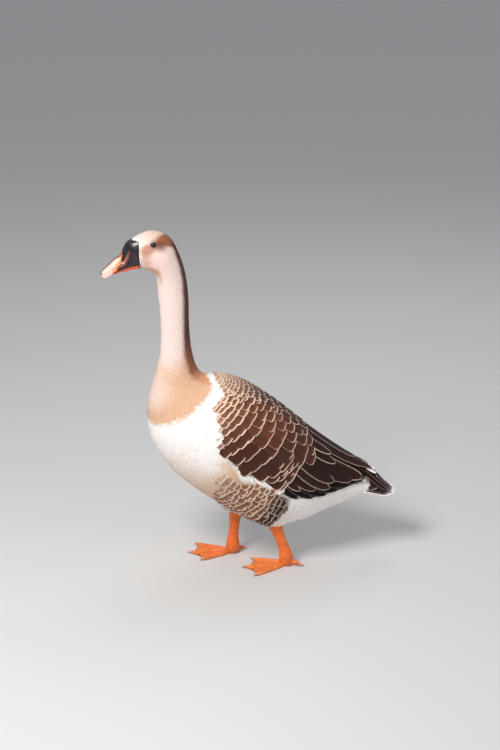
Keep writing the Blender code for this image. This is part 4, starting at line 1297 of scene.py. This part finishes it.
def onto_face(point, t):
    """The roof's first rows moved out to the bill's black border on the head, and one more row
    tucked under the face feathers."""
    turn = np.linspace(-150, 150, 481)
    rim, out, _, _ = read(TRUNK, 0 * turn, turn)
    near = np.linalg.norm(point[0][:, None] - rim, axis=-1).argmin(1)
    swollen = 0.0007 + 0.0028 * np.clip(np.interp(np.abs(turn), *BLACK_REAR) / 0.5, 0, 1)
    gap = (rim + out * swollen[:, None])[near] - point[0]
    point = point + gap * (1 - smooth(0.0, 1.5, t))[..., None]
    tucked, out, _, _ = read(TRUNK, 0 * turn + 0.10, turn)
    return np.concatenate([(tucked + out * 0.0001)[near][None], point])


print("nail's tip at", np.round(bill_roof(np.array(BILL_TIP), np.array(0.0))[0], 3))

# %% [markdown]
# Bill, lids and claws share one kind of finish. Horn is smooth and a little glossy, with faint
# mottling in its colour and its relief, and each piece has its own gloss. The colours of the
# bill are borders on its two parameters.

# %% The bill's colour and the finish of horn
BORDER_MARKS = ((0.66, 1.0, 3.2, 0.10), (0.50, 1.6, 3.9, 0.07), (0.30, 2.6, 4.3, 0.05))


def bill_colour(t, high):
    """Black behind a slanting border, then orange, then pink, with painted shade as a dark line
    down the ridge and over the nail's tip, and a dark lower edge. The marks are thin lines that
    run back into the black: height, start, end and slope."""
    wave = 0.16 * np.sin(high * 13 + 1) + 0.08 * np.sin(high * 37 + t * 3)
    ahead = t - (4.75 - 2.35 * high) + wave
    colour = np.broadcast_to(paint(30, 22, 30), (*t.shape, 3))
    for height, start, end, slope in BORDER_MARKS:
        line = bell(high - height + slope * (t - start), 0.045)
        line *= smooth(start - 0.2, start + 0.6, t) * (1 - smooth(end - 0.2, end + 0.5, t))
        colour = over(colour, paint(186, 104, 78), line * 0.7)
    colour = over(colour, paint(240, 138, 84), smooth(-0.10, 0.18, ahead))
    colour = over(colour, paint(238, 176, 152), smooth(0.25, 1.15, ahead))
    colour = over(colour, paint(240, 198, 184), smooth(4.9, 6.2, t))
    # Painted shade: a dark line down the ridge, and over the top of the nail's tip.
    dark = np.maximum(smooth(0.90, 0.97, high) * smooth(2.0, 3.0, t) * 0.9,
                      smooth(6.9, 7.7, t) * smooth(0.45, 0.75, high) * 0.9)
    colour = over(colour, paint(58, 34, 36), dark)
    edge = (1 - smooth(0.03, 0.10, high)) * (1 - smooth(4.9, 5.4, t))
    return over(colour, paint(34, 24, 28), edge)


def horn_material(name, roughness, scale, strength, coat):
    """Horn: the painted tint, faint mottling, and the same mottling as a fine relief."""
    made, tree, shader = material(name, roughness, coat=coat)
    mottle = mottled(tree, scale, 4.0, 0.84, 1.12)
    colour = shaded(tree, attribute(tree, "tint"), mottle["Shade"])
    tree.links.new(colour, shader.inputs["Base Color"])
    gloss = ranged(tree, mottle["Height"], NOISE_LOW, NOISE_HIGH, roughness - 0.06,
                   roughness + 0.10)
    tree.links.new(gloss, shader.inputs["Roughness"])
    bump(tree, shader, mottle["Height"], strength, 0.0004)
    return made


HORN = horn_material("bill horn", 0.32, 420.0, 0.25, 0.25)
print("finish:", HORN.name)

# %% [markdown]
# The roof is closed below by an arched palate, so that the bill is a solid. The nail is the
# last part of the same form, a hair's breadth thicker, and its rear edge shows as a fine step.

# %% The upper bill and its nail
def bill_tube(start, end, count, swell=0.0):
    """The roof and an arched palate, closed into one tube."""
    t = np.linspace(start, end, count)[:, None]
    roof = np.sin(np.linspace(-1, 1, 65) * math.pi / 2)[None, :]
    point, high = bill_roof(t + 0 * roof, 0 * t + roof)
    point = point + unit(point - point.mean(1, keepdims=True)) * swell
    if start == 0:
        point = onto_face(point, t)
        t, high = np.concatenate([t[:1], t]), np.concatenate([high[:1], high])
    share = np.linspace(0, 1, PALATE_POINTS + 2)[None, 1:-1, None]
    palate = point[:, -1:] * (1 - share) + point[:, :1] * share
    palate[..., 2] += 0.0008 * np.sin(share[..., 0] * math.pi)
    under = np.broadcast_to(paint(190, 110, 90), palate.shape)
    colour = np.concatenate([bill_colour(t + 0 * roof, high), under], 1)
    return closed_tube(np.concatenate([point, palate], 1), {"tint": colour})


upper = assembled("upper_bill", [bill_tube(0.0, NAIL_START + 0.05, 110)], HORN)
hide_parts("bill_upper")
nail = assembled("bill_nail_horn", [bill_tube(NAIL_START, BILL_TIP, 36, 0.0003)], HORN)
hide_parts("bill_nail")
print("upper bill and nail:", len(upper.data.polygons), "and", len(nail.data.polygons), "faces")

# %% [markdown]
# The lower bill is narrower and shows as an orange-red strip under the dark mouth line. A line
# of colour on one bill would do from afar, but two pieces give the mouth a true edge. This one
# is another table of sections, with a flat top that lies against the palate.

# %% The lower bill
JAW = np.array([
    (-0.2322, 0.6112, -0.2300, 0.6025, 0.0150), (-0.2400, 0.6110, -0.2380, 0.6018, 0.0144),
    (-0.2480, 0.6095, -0.2475, 0.6005, 0.0130), (-0.2575, 0.6070, -0.2580, 0.5980, 0.0113),
    (-0.2680, 0.6030, -0.2700, 0.5960, 0.0097), (-0.2790, 0.5978, -0.2815, 0.5930, 0.0078),
    (-0.2850, 0.5942, -0.2870, 0.5915, 0.0045)])  # upper (y, z), lower (y, z), half
t = np.linspace(0, len(JAW) - 1, 70)[:, None]
turn = np.linspace(-math.pi / 2, math.pi / 2, 33)[None, :]
rows = along(JAW, t + 0 * turn)
flat = rows[..., 0:2] + (rows[..., 2:4] - rows[..., 0:2]) * (np.cos(turn) ** 0.8)[..., None]
under = np.concatenate([(rows[..., 4] * np.sin(turn))[..., None], flat], -1) + PLACE
share = np.linspace(0, 1, 9)[None, 1:-1, None]
mouth = under[:, -1:] * (1 - share) + under[:, :1] * share
low = 1 - np.abs(np.sin(turn)) + 0 * t
colour = over(paint(224, 88, 46), paint(242, 146, 76), smooth(0.05, 0.5, low))
colour = over(colour, paint(60, 26, 26), (1 - smooth(0.0, 0.9, t)) * 0.8 + 0 * low)
colour = np.concatenate([colour, np.broadcast_to(paint(70, 24, 24), mouth.shape)], 1)
ring = np.concatenate([under, mouth], 1)
jaw = assembled("lower_bill", [closed_tube(ring[:, ::-1], {"tint": colour[:, ::-1]})], HORN)
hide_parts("bill_lower")
print("lower bill:", len(jaw.data.polygons), "faces")

# %% [markdown]
# The black base is a thin saddle of the same horn on the front of the head. Colour alone would
# leave it flat, so it is thickest in front and rounded off where it ends.

# %% The bill's base
turn = np.linspace(-112, 112, 121)[:, None]
across = np.linspace(0, 1, 17)[None, :]
reach = np.interp(np.abs(turn[:, 0]), *BLACK_REAR)
reach = np.convolve(np.pad(reach, 4, "edge"), np.ones(9) / 9, "valid")[:, None] + 0.03
point, normal, _, _ = read(TRUNK, reach * across, turn + 0 * across)
bulge = 0.0028 * np.clip((reach - 0.03) / 0.5, 0, 1) * (1 - across) ** 1.3
bulge = bulge + 0.0009 * np.sqrt(1 - across**4) - 0.0004
outer = point + normal * bulge[..., None]
inner = point[:, ::-1] - normal[:, ::-1] * 0.0030
saddle = np.concatenate([outer, inner], 1)
colour = np.broadcast_to(paint(26, 18, 24), saddle.shape)
base = assembled("bill_base", [closed_tube(saddle, {"tint": colour})], HORN)
print("bill's base:", len(base.data.polygons), "faces")

# %% [markdown]
# The eye is a wet dark ball set in the head, with a brown iris that shows only when the light
# catches it. Two thin lids, thickest in the middle and meeting at the corners, hold it. The
# lids could be cut from the skin, but as curved rods of their own they give a clean rim.

# %% The wet eye's finish, balls and rings along a path
def eye_material():
    """Black pupil, brown iris and dark rim, by how far round the ball a point is."""
    made, tree, shader = material("wet eye", 0.08, coat=0.35, specular=0.35)
    ramp = node(tree, "ShaderNodeValToRGB", {0: attribute(tree, "away", "Fac")})
    stops = ramp.color_ramp.elements
    stops[0].position, stops[0].color = 0.20, (0.002, 0.002, 0.002, 1)
    stops[1].position, stops[1].color = 0.24, (0.045, 0.020, 0.010, 1)
    stops.new(0.42).color = (0.020, 0.010, 0.007, 1)
    tree.links.new(ramp.outputs[0], shader.inputs["Base Color"])
    return made


def ball(centre, radius, axis, rings=40, columns=48):
    """Rings about an axis; 'away' is how far a ring is from the front pole, 0 to 1."""
    share = np.linspace(0.02, 0.98, rings)[:, None]
    polar = (share * math.pi)[..., None]
    about = np.linspace(0, 2 * math.pi, columns, endpoint=False)[None, :, None]
    axis = unit(axis)
    side = unit(np.cross(axis, (0, 0, 1.0)))
    up = np.cross(side, axis)
    points = (np.cos(polar) * axis
              + np.sin(polar) * (np.cos(about) * side - np.sin(about) * up))
    return closed_tube(centre + radius * points,
                       {"away": np.broadcast_to(share, (rings, columns))})


def tube_rings(path, wide, high, side, columns=20):
    """Ovals square to a path: path + wide cos(a) side + high sin(a) up."""
    way = unit(np.gradient(path, axis=0))
    side = unit(side - way * dot(side, way)[..., None])
    up = np.cross(way, side)
    a = np.arange(columns) * 2 * math.pi / columns
    ring = (wide[:, None] * np.cos(a))[..., None] * side[:, None]
    return path[:, None] + ring + (high[:, None] * np.sin(a))[..., None] * up[:, None]


EYE_FINISH = eye_material()
LID = horn_material("eyelid skin", 0.55, 900.0, 0.4, 0.0)
print("finishes:", EYE_FINISH.name, "and", LID.name)

# %% [markdown]
# Each lid is a rod that lies on the ball, bowed up or down between the two corners of the eye.
# It could be a ring, but two rods meet in a pointed corner, as real lids do.

# %% Eyes and lids
def eyelid(centre, out, rear, up, reach):
    """A rod bent over the ball: 5 mm to the corners, reach in the middle, thick there too."""
    a = np.linspace(-0.06, 1.06, 28) * math.pi
    flat = np.cos(a)[:, None] * rear * 0.0050 + np.sin(a)[:, None] * up * reach
    away = np.linalg.norm(flat, axis=1)
    rise = np.sqrt(np.maximum((EYE_RADIUS + 0.0002) ** 2 - away**2, 0.0))
    path = centre + flat + out * rise[:, None]
    thick = 0.00035 + 0.00055 * np.sin(np.clip((a / math.pi), 0, 1) * math.pi) ** 0.6
    rings = tube_rings(path, thick * 1.4, thick, np.broadcast_to(out, path.shape), 14)
    return closed_tube(rings, {"tint": np.broadcast_to(paint(66, 44, 36), rings.shape)})


for label, side in SIDES:
    centre = PLACE + EYE * (side, 1, 1)
    _, out, by_s, _ = (value[0] for value in read(TRUNK, np.array([EYE_PLACE[0]]),
                                                  np.array([EYE_PLACE[1] * side])))
    eye = assembled(f"eyeball_{label}", [ball(centre, EYE_RADIUS, out)], EYE_FINISH)
    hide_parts(f"eye_{label}")
    rear = unit(by_s - out * (by_s @ out))
    up = np.cross(out, rear) * side
    up = up if up[2] > 0 else -up
    lids = [eyelid(centre, out, rear, up * way, reach)
            for way, reach in ((1, 0.0036), (-1, 0.0040))]
    assembled(f"eyelids_{label}", lids, LID)
    print(f"{label} eye at", np.round(centre, 4))

# %% [markdown]
# The legs are bare skin covered in small scales, with broader plates along the toes. A grid of
# cells with dark seams between them gives the scales their colour, relief and gloss, and the
# plates are in the mesh, because they show at the toes' outline.

# %% The legs' measures and their scaly skin
# side, hock, ankle, and the foot's heading in degrees
LEGS = {"left": (1, (0.0540, 0.0185, 0.0900), (0.0540, 0.0435, 0.0185), -1.0),
        "right": (-1, (-0.0340, -0.0435, 0.0900), (-0.0250, -0.0525, 0.0185), 7.0)}
# share of the way down, half depth, half width: from hock to ankle, and from there to the heel
TARSUS = np.array([(-0.10, 0.0100, 0.0078), (0.06, 0.0132, 0.0100), (0.20, 0.0120, 0.0090),
                   (0.42, 0.0103, 0.0077), (0.66, 0.0100, 0.0077), (0.84, 0.0114, 0.0091)])
BALL = np.array([(0.30, 0.0134, 0.0107), (0.62, 0.0140, 0.0121), (0.88, 0.0124, 0.0111),
                 (1.00, 0.0098, 0.0089)])
TOES = (("inner", -31, 0.070), ("middle", 0, 0.083), ("outer", 30, 0.080))  # degrees, metres
HIND = ("hind", 152, 0.027)
KNUCKLES = (0.36, 0.62, 0.84)  # shares of a toe
PLATE_PITCH = 0.0036
ORANGE, DEEP_ORANGE, PALE_ORANGE = paint(250, 126, 46), paint(228, 100, 34), paint(255, 156, 76)


def leg_material():
    """Cells with dark seams between them as colour, relief and roughness, and mottled."""
    made, tree, shader = material("scaled leg skin", 0.42, coat=0.12)
    cells = node(tree, "ShaderNodeTexVoronoi", {"Vector": object_place(tree), "Scale": 430.0},
                 feature="DISTANCE_TO_EDGE")
    seam = ranged(tree, cells.outputs["Distance"], 0.0, 0.16, 0.0, 1.0)
    tint = attribute(tree, "tint")
    dull = mix(tree, 1.0, tint, (0.72, 0.50, 0.34, 1.0), "MULTIPLY")
    mottle = mottled(tree, 90.0, 3.0, 0.82, 1.12)
    colour = shaded(tree, mix(tree, seam, dull, tint), mottle["Shade"])
    tree.links.new(colour, shader.inputs["Base Color"])
    tree.links.new(ranged(tree, seam, 0.0, 1.0, 0.62, 0.36), shader.inputs["Roughness"])
    bump(tree, shader, seam, 0.55, 0.0005)
    return made


LEG_SKIN = leg_material()
CLAW = horn_material("claw horn", 0.35, 300.0, 0.2, 0.2)
print("finishes:", LEG_SKIN.name, "and", CLAW.name)

# %% [markdown]
# The toes and both webs are one closed sheet with a flat sole, so that nothing gapes between
# toe and web. A web is stretched between the near edges of two toes, its front edge is hollow,
# and faint folds run along it.

# %% Toes and webs
SOLE, TOE_START = 0.0019, 0.004  # height of a toe's edge, and where it leaves the heel


def plates(distance):
    """0 in the groove behind a plate, rising to 1 along it."""
    step = (distance / PLATE_PITCH) % 1.0
    return smooth(0.0, 0.22, step) * (1 - 0.35 * step)


def toe_line(sign, turn, length, offset, t):
    """Along the toe by t and across it by offset; knuckles swell it, plates ripple its top."""
    turn = math.radians(turn)
    way = np.array([sign * math.sin(turn), -math.cos(turn)])
    across = np.array([sign * math.cos(turn), math.sin(turn)])
    rounding = np.sqrt(np.maximum(1 - np.maximum((t - 0.88) / 0.12, 0) ** 2, 0.02))
    reach = TOE_START + (length - TOE_START) * t
    knuckle = sum(bell(t - at, 0.055) for at in KNUCKLES)
    width = np.minimum(0.0053 - 0.0018 * t, reach * 0.22) * rounding * (1 + 0.10 * knuckle)
    crest = 0.0092 - 0.0038 * t + 0.0005 * knuckle
    crest = SOLE + (crest - SOLE) * (0.35 + 0.65 * rounding)
    arch = np.sqrt(np.maximum(1 - offset**2, 0))
    ridge = plates(reach)
    height = SOLE + (crest - SOLE + 0.00040 * (ridge - 0.7)) * arch
    flat = way * reach[..., None] + across * (width * offset)[..., None]
    # The second value is painted light and shade: paler along a plate, darker in its groove.
    return np.concatenate([flat, height[..., None]], -1), ridge * arch + 0.8 * (1 - arch)


def web_sheet(sign, first, second, t, share):
    """From one toe's edge to the next by share. The edge's hollow is 0.09 of the toe deep."""
    back = t * (1 - 0.09 * np.sin(math.pi * share) ** 0.7)
    near, _ = toe_line(sign, *first[1:], 1.0 + 0 * back, back)
    far, _ = toe_line(sign, *second[1:], -1.0 + 0 * back, back)
    web = near * (1 - share[..., None]) + far * share[..., None]
    fold = np.sin(share * math.pi * 6 + 0.8 * np.sin(t * 5)) * np.sin(share * math.pi)
    web[..., 2] += 0.00030 * fold * smooth(0.25, 0.6, t) - 0.0003
    # Painted light and shade of the folds: paler on their crests, darker between them.
    return web, 0.55 + 0.25 * fold + 0 * t


def foot_sheet(sign):
    """Rows from heel to toe tips across three toes and two webs, and back along the sole; with
    how pale each point is, a painted light and shade of the plates and folds. The right foot's
    sheet is turned over so that it faces outwards, and the pale marks, which aren't turned with
    it, fall on its sole."""
    t = np.linspace(0, 1, 150)[:, None]
    offset = np.sin(np.linspace(-1, 1, 15) * math.pi / 2)[None, :]
    share = np.linspace(0, 1, 22)[None, 1:-1]
    parts = []
    for k, toe in enumerate(TOES):
        if k:
            parts.append(web_sheet(sign, TOES[k - 1], toe, t, share))
        parts.append(toe_line(sign, *toe[1:], offset + 0 * t, t + 0 * offset))
    top, relief_shade = (np.concatenate(column, 1) for column in zip(*parts))
    sole = (top * (1, 1, 0) + (0, 0, 0.0001))[:, ::-1]
    sheet, plain = np.concatenate([top, sole], 1), 0.5 + 0 * relief_shade
    if sign < 0:
        sheet, relief_shade = sheet[:, ::-1], relief_shade[:, ::-1]
    return sheet, np.concatenate([relief_shade, plain], 1)


print("a foot's sheet:", foot_sheet(1)[0].shape[:2], "points")

# %% [markdown]
# One tube runs from the feathered hock to the heel, and a short one makes the hind toe, which
# doesn't reach the ground. Each claw is a cone that bends down a little.

# %% Shank, hind toe and claws
def turned(points, degrees):
    """x' = x cos + y sin, y' = y cos - x sin."""
    sine, cosine = math.sin(math.radians(degrees)), math.cos(math.radians(degrees))
    x, y, z = np.moveaxis(points, -1, 0)
    return np.stack([x * cosine + y * sine, y * cosine - x * sine, z], -1)


def aimed(sign, degrees, heading):
    """The way a toe points on a foot that is turned by its heading."""
    angle = math.radians(degrees)
    return turned(np.array([[sign * math.sin(angle), -math.cos(angle), 0.0]]), heading)[0]


def leg_tube(path, fore, side, columns, colour):
    """Rings square to the path, longer fore and aft than from side to side, with a colour for
    each ring."""
    rings = tube_rings(path, fore, side, np.broadcast_to((0.0, -1.0, 0.0), path.shape), columns)
    return closed_tube(rings + PLACE, {"tint": colour + 0 * rings[..., :1]})


def shank(hock, ankle, heel, rings=120):
    """The two tables of sizes, joined by a smooth track; darker bands cross its lower part."""
    cut = hock + (ankle - hock) * TARSUS[-1, 0]
    stops = np.concatenate([hock + (ankle - hock) * TARSUS[:, :1],
                            cut + (heel + (0, 0, 0.0009) - cut) * BALL[:, :1]])
    sizes = np.concatenate([TARSUS[:, 1:], BALL[:, 1:]])
    run = along(np.concatenate([stops, sizes], 1), np.linspace(0, len(stops) - 1, rings))
    down = np.linspace(0, 1, rings)[:, None, None]
    bands = np.abs(np.sin(down * 46)) * smooth(0.5, 0.8, down)
    return leg_tube(run[:, :3], run[:, 3], run[:, 4], 36, ORANGE * (1 - 0.12 * bands))


def hind_toe(sign, heel, heading):
    _, degrees, length = HIND
    share = np.linspace(0.1, 1.0, 40)[:, None]
    path = heel + aimed(sign, degrees, heading) * length * share
    path = path + (0, 0, 0.0115) - (0, 0, 0.0070) * share
    wide = np.interp(share[:, 0], (0.1, 0.2, 0.6, 0.9, 1.0),
                     (0.0044, 0.0044, 0.0038, 0.0032, 0.0022))
    ridge = plates(share * length)
    # Painted shade: darker in the groove behind each plate.
    colour = by_share(DEEP_ORANGE, ORANGE, ridge)[:, None]
    return leg_tube(path, wide, wide * (1 + 0.06 * ridge[:, 0]), 24, colour)


def claw(sign, heel, heading, degrees, length, level):
    """Radius = (1 - share)^0.55, and the path falls by share^2."""
    share = np.linspace(0, 1, 16)[:, None]
    path = heel + aimed(sign, degrees, heading) * (length - 0.0012 + 0.0087 * share)
    path = path + (0, 0, level) - (0, 0, 0.0018) * share**2
    radius = 0.0026 * (1 - share[:, 0]) ** 0.55 + 0.0003
    return leg_tube(path, radius, radius * 0.9, 18,
                    paint(214, 164, 136) * (1 - 0.35 * share)[:, None])


print("the left middle toe points to", np.round(aimed(1, 0, LEGS["left"][3]), 3))

# %% [markdown]
# Foot, shank and hind toe overlap where they meet, so that the leg is one piece of skin with
# no gap at the joints. The claws are a piece of their own, because they are horn.

# %% Put the legs together
for label, (sign, hock, ankle, heading) in LEGS.items():
    hock, ankle = np.array(hock), np.array(ankle)
    heel = ankle * (1, 1, 0)
    sheet, relief_shade = foot_sheet(sign)
    place = turned(sheet, heading) + heel + PLACE
    # The relief's painted light and shade runs from deep to pale orange.
    colour = by_share(DEEP_ORANGE, PALE_ORANGE, relief_shade[..., None])
    foot = closed_tube(place[:, ::-1], {"tint": colour[:, ::-1]})
    leg = assembled(f"leg_skin_{label}", [foot, shank(hock, ankle, heel),
                                          hind_toe(sign, heel, heading)], LEG_SKIN)
    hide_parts(f"shank_{label}", f"foot_{label}")
    claws = assembled(f"claws_{label}_foot",
                      [claw(sign, heel, heading, degrees, length,
                            0.0044 if toe == "hind" else 0.0036)
                       for toe, degrees, length in (*TOES, HIND)], CLAW)
    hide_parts(*(f"claw_{label}_{toe}" for toe, _, _ in (*TOES, HIND)))
    print(f"{label} leg:", len(leg.data.polygons), "faces")

# %% [markdown]
# The goose stands on a plain pale floor under soft studio light: a large lamp high in front on
# its left, two weaker ones from behind, and an even pale sky. One hard lamp would be like the
# sun, but soft light shows the relief of white and black feathers alike. The camera sees its
# left side, from 10 degrees ahead and 18 degrees above.

# %% Floor, lights and camera
FLOOR_HALF, FLOOR_LEVEL = 40, -0.0004
floor_mesh = bpy.data.meshes.new("studio_floor")
floor_mesh.from_pydata([(x * FLOOR_HALF, y * FLOOR_HALF, FLOOR_LEVEL)
                        for x, y in ((-1, -1), (1, -1), (1, 1), (-1, 1))], [], [(0, 1, 2, 3)])
floor = bpy.data.objects.new("studio_floor", floor_mesh)
bpy.context.scene.collection.objects.link(floor)
plain, _, shader = material("studio floor", 0.8)
shader.inputs["Base Color"].default_value = (0.62, 0.615, 0.61, 1)
floor_mesh.materials.append(plain)


def lamp(name, direction, distance, size, watts, colour):
    data = bpy.data.lights.new(name, "AREA")
    data.shape, data.size = "DISK", size
    data.energy, data.color = watts, colour
    made = bpy.data.objects.new(name, data)
    aim = mathutils.Vector(direction).normalized()
    made.location = mathutils.Vector((0, 0, 0.33)) + aim * distance
    made.rotation_euler = aim.to_track_quat("Z", "Y").to_euler()
    bpy.context.scene.collection.objects.link(made)
    return made


lamp("key light", (0.62, -0.55, 0.80), 2.4, 1.0, 56, (1.0, 0.975, 0.94))
lamp("fill light", (0.9, 0.9, 0.35), 3.0, 2.2, 8, (0.97, 0.98, 1.0))
lamp("back light", (-0.7, 0.35, 0.9), 2.6, 1.6, 12, (1.0, 1.0, 1.0))
sky = bpy.data.worlds.new("studio sky")
sky.use_nodes = True
sky.node_tree.nodes["Background"].inputs["Color"].default_value = (0.93, 0.95, 1.0, 1)
sky.node_tree.nodes["Background"].inputs["Strength"].default_value = 0.42
bpy.context.scene.world = sky
bpy.context.scene.view_settings.view_transform = "Standard"

lens = bpy.data.cameras.new("camera")
lens.lens, lens.sensor_width = 86.4, 36.0
camera = bpy.data.objects.new("camera", lens)
bearing, height = math.radians(80), math.radians(18)
back = mathutils.Vector((math.sin(bearing) * math.cos(height),
                         -math.cos(bearing) * math.cos(height), math.sin(height)))
camera.location = mathutils.Vector((-0.11328, 0.01425, 0.34277)) + back * 3.6
camera.rotation_euler = back.to_track_quat("Z", "Y").to_euler()
bpy.context.scene.collection.objects.link(camera)
bpy.context.scene.camera = camera
print("camera at", np.round(camera.location, 3))
